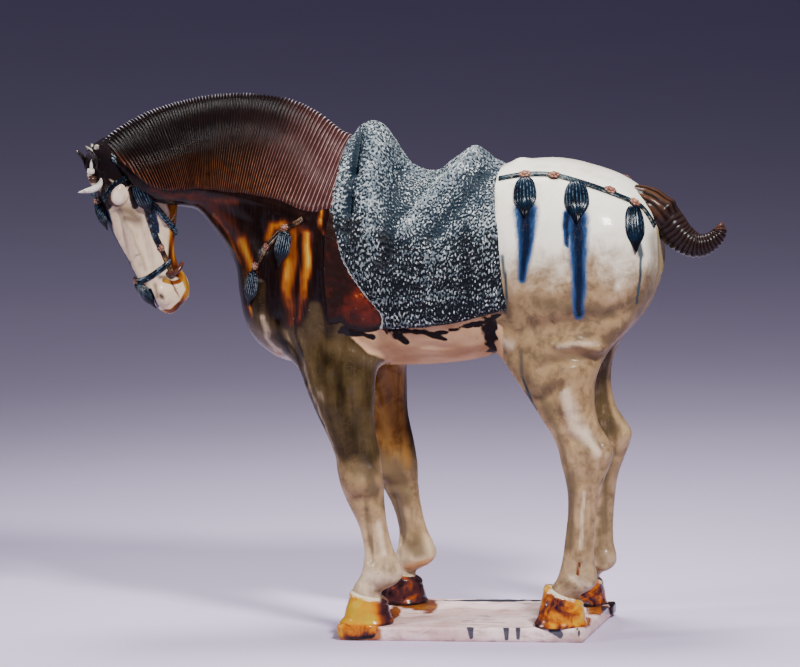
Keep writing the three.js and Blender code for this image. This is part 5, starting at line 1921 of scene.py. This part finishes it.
def manePaint():
    paint = Paint("maneGlaze")
    rib, low, rear, tone = (paint.layer(layer) for layer in ("rib", "low", "rear", "tone"))
    broad, fine = paint.noise(14.0, 4.0), paint.noise(120.0, 3.0, 0.5)
    lower = (low + (broad - 0.5) * 0.5).step(0.45, 1.0)
    back = (rear + (broad - 0.5) * 0.4).step(0.5, 0.98)
    deep = paint.mix(lower, (0.004, 0.002, 0.002), (0.02, 0.006, 0.003))
    deep = paint.mix(back * 0.8, deep, (0.05, 0.015, 0.013))
    warm = paint.mix(broad.step(0.35, 0.6), (0.46, 0.15, 0.035), (0.26, 0.085, 0.045))
    line = paint.mix(lower, (0.05, 0.02, 0.016), warm)
    line = paint.mix(back, line, (0.36, 0.205, 0.2))
    # lighter lines on the rib crests: partly worn glaze, partly painted highlight
    ridge = (rib + (fine - 0.5) * 0.4).step(0.74, 1.04) * (lower.most(back) * 0.75 + 0.25)
    paint.colour = paint.mix(ridge * tone, deep, line)
    # painted highlights: pale glints on the rib crests along the top of the mane
    crest = (1.0 - low.step(0.04, 0.16)) * (rib + (fine - 0.5) * 0.5).step(0.75, 1.0)
    paint.lay(crest * broad.step(0.38, 0.6) * 0.7, (0.7, 0.62, 0.64))
    return paint.finish(0.24 + fine * 0.1, fine * 0.1 + broad, 0.0004, None, 0.15, 0.11)


def tailPaint():
    paint = Paint("tailGlaze")
    groove, along = paint.layer("groove"), paint.layer("along")
    broad, fine = paint.noise(40.0, 4.0), paint.noise(160.0, 3.0)
    root = 1.0 - (along + (broad - 0.5) * 0.16).step(0.12, 0.24)
    tip = (along + (fine - 0.5) * 0.05).step(0.9, 0.97)
    dark = paint.mix(broad, (0.004, 0.002, 0.002), (0.01, 0.005, 0.005))
    rooted = paint.mix((1.0 - groove).step(0.55, 1.0), (0.008, 0.004, 0.003), (0.065, 0.027, 0.014))
    paint.colour = paint.mix(root, dark, rooted)
    paint.lay(tip * 0.5, (0.11, 0.04, 0.025))
    # lighter rib crests: partly worn glaze, partly painted highlight
    worn = (1.0 - groove).step(0.8, 1.0) * (1.0 - root)
    paint.lay(worn * 0.1, (0.15, 0.08, 0.07))
    paint.lay(groove.step(0.4, 0.9) * (1.0 - root), (0.006, 0.004, 0.004))
    return paint.finish(0.18 + fine * 0.16, fine, 0.0004, None, 0.2, 0.14)


def coverPaint():
    paint = Paint("coverGlaze")
    fleck, hang, rim, deep = (paint.layer(layer) for layer in ("fleck", "hang", "rim", "deep"))
    fine = paint.noise(620.0, 2.0, 0.5)
    broad = paint.noise(16.0, 4.0)
    patch = paint.noise(70.0, 3.0, 0.6)
    # pellets of wool: every cell has a pale middle of its own brightness
    inputs = {"Vector": paint.place, "Scale": 170.0, "Detail": 2.0}
    bend = paint.node("ShaderNodeTexNoise", {}, inputs, "Color")
    inputs = {0: bend, 1: (0.006, 0.006, 0.003), 2: paint.stretched(1.0, 1.0, 0.55)}
    near = paint.cells(400.0, "F1",
                       paint.node("ShaderNodeVectorMath", {"operation": "MULTIPLY_ADD"}, inputs))
    own = Value(paint, near.socket.node.outputs["Color"])
    pale = paint.ramp(own * 0.65 + patch * 0.35 - hang * 0.1, [
        (0.25, (0.045, 0.062, 0.078)), (0.5, (0.175, 0.198, 0.208)), (0.74, (0.58, 0.6, 0.6))])
    pale = paint.mix(broad.step(0.35, 0.65) * (1.0 - hang) * 0.6, pale, (0.1, 0.13, 0.156))
    low = (hang * 0.7 + (broad - 0.5)).step(0.0, 0.5)
    ground = paint.mix(low, (0.007, 0.015, 0.024), (0.003, 0.004, 0.007))
    share = 0.56 - near + (fleck - 0.5) * 0.62 + (fine - 0.5) * 0.3 - (patch - 0.5) * hang * 0.8
    # painted shade in the carved folds and the slot: fewer pale flecks there
    share = (share - deep * 0.4 - deep.step(0.95, 1.0) * 0.8).step(0.02, 0.17)
    paint.colour = paint.mix(share, ground, pale)
    paint.lay((rim + (fine - 0.5) * 0.5).step(0.25, 0.55), (0.44, 0.46, 0.42))
    return paint.finish(0.42 + fine * 0.2, share, 0.0016, None, 0.9, 0.12)


def padPaint():
    paint = Paint("padGlaze")
    down, across = paint.layer("down"), paint.layer("across")
    broad, fine = paint.noise(34.0, 6.0, 0.65), paint.noise(170.0, 4.0)
    red = (down * 0.45 + across * 0.4 + (broad - 0.5) * 1.6).step(0.3, 0.9)
    paint.colour = paint.mix(red, (0.012, 0.004, 0.003), (0.11, 0.012, 0.005))
    spark = (down * 0.5 + across * 0.25 + (fine - 0.5) * 1.6 + (broad - 0.5) * 1.2).step(0.72, 1.0)
    paint.lay(spark * 0.85, (0.32, 0.075, 0.008))
    hem = (down + (broad - 0.5) * 0.3).step(0.88, 0.97)
    paint.lay(hem, (0.01, 0.005, 0.005))
    return paint.finish(0.24 + fine * 0.25, fine + broad * 2.0, 0.002, None, 0.6, 0.14)


def tasselPaint(name, low, deep):
    # near black, with painted pale blue highlights along the flutes down to a solid knob
    paint = Paint(name)
    flute, along = paint.layer("flute"), paint.layer("along")
    fine, broad = paint.noise(260.0, 3.0), paint.noise(60.0, 3.0)
    light = paint.mix(broad.step(0.35, 0.65), (0.06, 0.125, 0.2), (0.38, 0.43, 0.45))
    fluteHighlights = (flute + (fine - 0.5) * 0.6).step(low, low + 0.24) * (1.0 - along.step(0.46, 0.72))
    dark = paint.mix(broad.step(0.3, 0.7), (0.002, 0.003, 0.006), deep)
    paint.colour = paint.mix(fluteHighlights * 0.75, dark, light)
    knob = (along + (fine - 0.5) * 0.1).step(0.72, 0.84)
    paint.lay(knob, (0.003, 0.003, 0.005))
    return paint.finish(0.12 + fine * 0.12, fine, 0.0004, None, 0.25, 0.18)


def strapPaint(name, dark, light, worn, wearAndHighlightShare):
    paint = Paint(name)
    fine, broad = paint.noise(300.0, 3.0), paint.noise(70.0, 4.0)
    paint.colour = paint.mix(broad.step(0.4, 0.62), dark, light)
    # lighter along the cords' ridges and in specks: partly wear, partly painted highlights
    wearAndHighlight = ((fine - 0.5) * 1.1 + broad * 0.6 + paint.layer("ridge") * 0.45).step(0.7, 1.0)
    paint.lay(wearAndHighlight * wearAndHighlightShare, worn)
    return paint.finish(0.13 + fine * 0.16, fine, 0.0006, None, 0.35, 0.16)


def rosettePaint():
    paint = Paint("rosetteGlaze")
    fine, broad = paint.noise(420.0, 3.0), paint.noise(90.0, 3.0)
    high = (paint.layer("high") + (fine - 0.5) * 0.7).step(0.3, 0.75)
    boss = paint.mix(broad.step(0.4, 0.6), (0.13, 0.045, 0.03), (0.26, 0.125, 0.08))
    paint.colour = paint.mix(high, (0.02, 0.008, 0.007), boss)
    return paint.finish(0.18 + fine * 0.2, fine, 0.0004, None, 0.3, 0.25)


def plainPaint(name, light, dark, scale, roughness, coat):
    # glaze of one colour that pools darker here and there
    paint = Paint(name)
    fine, broad = paint.noise(scale * 6, 4.0), paint.noise(scale, 4.0)
    paint.colour = paint.mix(broad.step(0.35, 0.75), light, dark)
    return paint.finish(roughness + fine * 0.12, fine + broad * 0.5, 0.0005, coat * 0.1, 0.3, 0.22)


def slabPaint():
    paint = Paint("slabClay")
    broad, fine, grain = paint.noise(13.0, 6.0, 0.62), paint.noise(90.0, 5.0, 0.6), paint.noise(600.0, 2.0)
    paint.colour = paint.mix(broad.step(0.35, 0.65), (0.54, 0.34, 0.32), (0.82, 0.63, 0.62))
    stain = paint.noise(1.0, 6.0, 0.62, paint.stretched(24.0, 60.0, 60.0), 0.5).step(0.5, 0.66)
    paint.lay(stain * 0.7, (0.3, 0.17, 0.135))
    paint.lay((grain - 0.5) * 0.5, (0.36, 0.26, 0.21))
    amber = (paint.layer("amber") + (fine - 0.5) * 0.6).step(0.3, 0.62)
    paint.lay(amber, paint.ramp(broad + (fine - 0.5) * 0.8, [
        (0.3, (0.02, 0.008, 0.006)), (0.47, (0.24, 0.055, 0.01)), (0.75, (0.42, 0.16, 0.018))]))
    blue = (paint.layer("blue") + (fine - 0.5) * 0.4).step(0.12, 0.4)
    paint.lay(blue * 0.95, (0.012, 0.02, 0.034))
    glossy = amber.most(blue)
    roughness = 0.82 - glossy * 0.58 - fine * 0.1
    return paint.finish(roughness, fine + grain * 0.4, 0.001, glossy * 0.5, 0.6)


def coat(pieces, material, slotName):
    for piece in pieces:
        piece.data.materials.clear()
        piece.data.materials.append(material)


coat([horseBody], bodyPaint("bodyGlaze"), "cream_glaze")
coat([horseHead], bodyPaint("faceGlaze", face=True), "cream_glaze")
coat(hooves + flows, hoofPaint(), "cream_glaze")
coat([maneHair], manePaint(), "brown_glaze")
coat([tail], tailPaint(), "brown_glaze")
coat([saddleCover], coverPaint(), "blue_glaze")
coat(pads, padPaint(), "brown_glaze")
coat(rosettes, rosettePaint(), "brown_glaze")
plainGlazes = [  # pieces, name, light, dark, scale of the pools, roughness, coat, slot
    (eyes, "eyeGlaze", (0.7, 0.56, 0.45), (0.52, 0.36, 0.25), 60, 0.14, 0.5, "cream_glaze"),
    (lids, "lidGlaze", (0.035, 0.018, 0.012), (0.12, 0.07, 0.045), 90, 0.2, 0.4, "cream_glaze"),
    (forelock, "forelockGlaze", (0.66, 0.62, 0.55), (0.36, 0.29, 0.22), 110, 0.15, 0.8, "cream_glaze"),
    (pollBow, "bowGlaze", (0.5, 0.46, 0.38), (0.1, 0.07, 0.05), 110, 0.18, 0.8, "cream_glaze"),
    ([forelockBead], "beadGlaze", (0.075, 0.034, 0.022), (0.014, 0.008, 0.007), 110, 0.14, 0.9,
     "brown_glaze"),
    (bitBars, "bitGlaze", (0.085, 0.026, 0.018), (0.02, 0.008, 0.007), 90, 0.14, 0.9, "brown_glaze"),
    (ears, "earGlaze", (0.007, 0.004, 0.004), (0.035, 0.022, 0.018), 110, 0.16, 0.9, "brown_glaze"),
]
for pieces, *glaze, slotName in plainGlazes:
    coat(pieces, plainPaint(*glaze), slotName)
bigTassels = [t for t in tassels if "crupper" in t.name]
coat(bigTassels, tasselPaint("tasselGlaze", 0.86, (0.003, 0.011, 0.024)), "blue_glaze")
smallTassels = [t for t in tassels if "crupper" not in t.name]
coat(smallTassels, tasselPaint("smallTasselGlaze", 0.79, (0.002, 0.006, 0.014)), "blue_glaze")
crupperStraps = [s for s in straps if "crupper" in s.name]
breastStraps = [s for s in straps if "breast" in s.name or "Low" in s.name]
bridleStraps = [s for s in straps if s not in crupperStraps + breastStraps]
strapGlazes = [  # straps, name, dark, light, colour of the wear and of the painted highlights on the ridges, how far they reach, slot
    (crupperStraps, "crupperGlaze", (0.004, 0.008, 0.014), (0.008, 0.03, 0.045), (0.36, 0.3, 0.2), 0.55,
     "blue_glaze"),
    (breastStraps, "breastGlaze", (0.01, 0.005, 0.004), (0.07, 0.034, 0.016), (0.3, 0.19, 0.09), 0.6,
     "brown_glaze"),
    (bridleStraps, "bridleGlaze", (0.002, 0.003, 0.006), (0.003, 0.01, 0.02), (0.2, 0.29, 0.37), 0.6,
     "blue_glaze"),
]
for pieces, *glaze, slotName in strapGlazes:
    coat(pieces, strapPaint(*glaze), slotName)
coat([slab], slabPaint(), "bare_clay")
print("materials made")


# Plain floor and soft studio light
lamps = {  # place, size, watts
    "keyLight": ((1.7, -2.3, 2.9), 0.55, 36.0),
    "sideLight": ((-2.8, -1.2, 1.6), 0.7, 10.0),
    "topLight": ((-0.4, 0.5, 3.1), 1.0, 18.0),
}


def makeStage():
    bpy.ops.mesh.primitive_plane_add(size=50.0, location=(0, 8.0, 0))
    floor = bpy.context.object
    floor.name = "floor"
    bpy.ops.object.select_all(action="DESELECT")
    paint = Paint("floorPaint")
    grain = paint.noise(3.0, 3.0)
    paint.colour = paint.mix(grain, (0.5, 0.42, 0.6), (0.54, 0.46, 0.64))
    floor.data.materials.append(paint.finish(0.75 + grain * 0.1, grain, 0.001))
    for name, (place, size, watts) in lamps.items():
        data = bpy.data.lights.new(name, "AREA")
        data.size = size
        data.energy = watts
        data.spread = math.radians(64)
        lamp = bpy.data.objects.new(name, data)
        bpy.context.scene.collection.objects.link(lamp)
        lamp.location = place
        aim = Vector((-0.05, 0, 0.25)) - lamp.location
        lamp.rotation_euler = aim.to_track_quat("-Z", "Y").to_euler()
    world = bpy.data.worlds.new("studio")
    world.use_nodes = True
    world.node_tree.nodes["Background"].inputs["Color"].default_value = (0.70, 0.68, 1.0, 1)
    world.node_tree.nodes["Background"].inputs["Strength"].default_value = 0.10
    bpy.context.scene.world = world


makeStage()
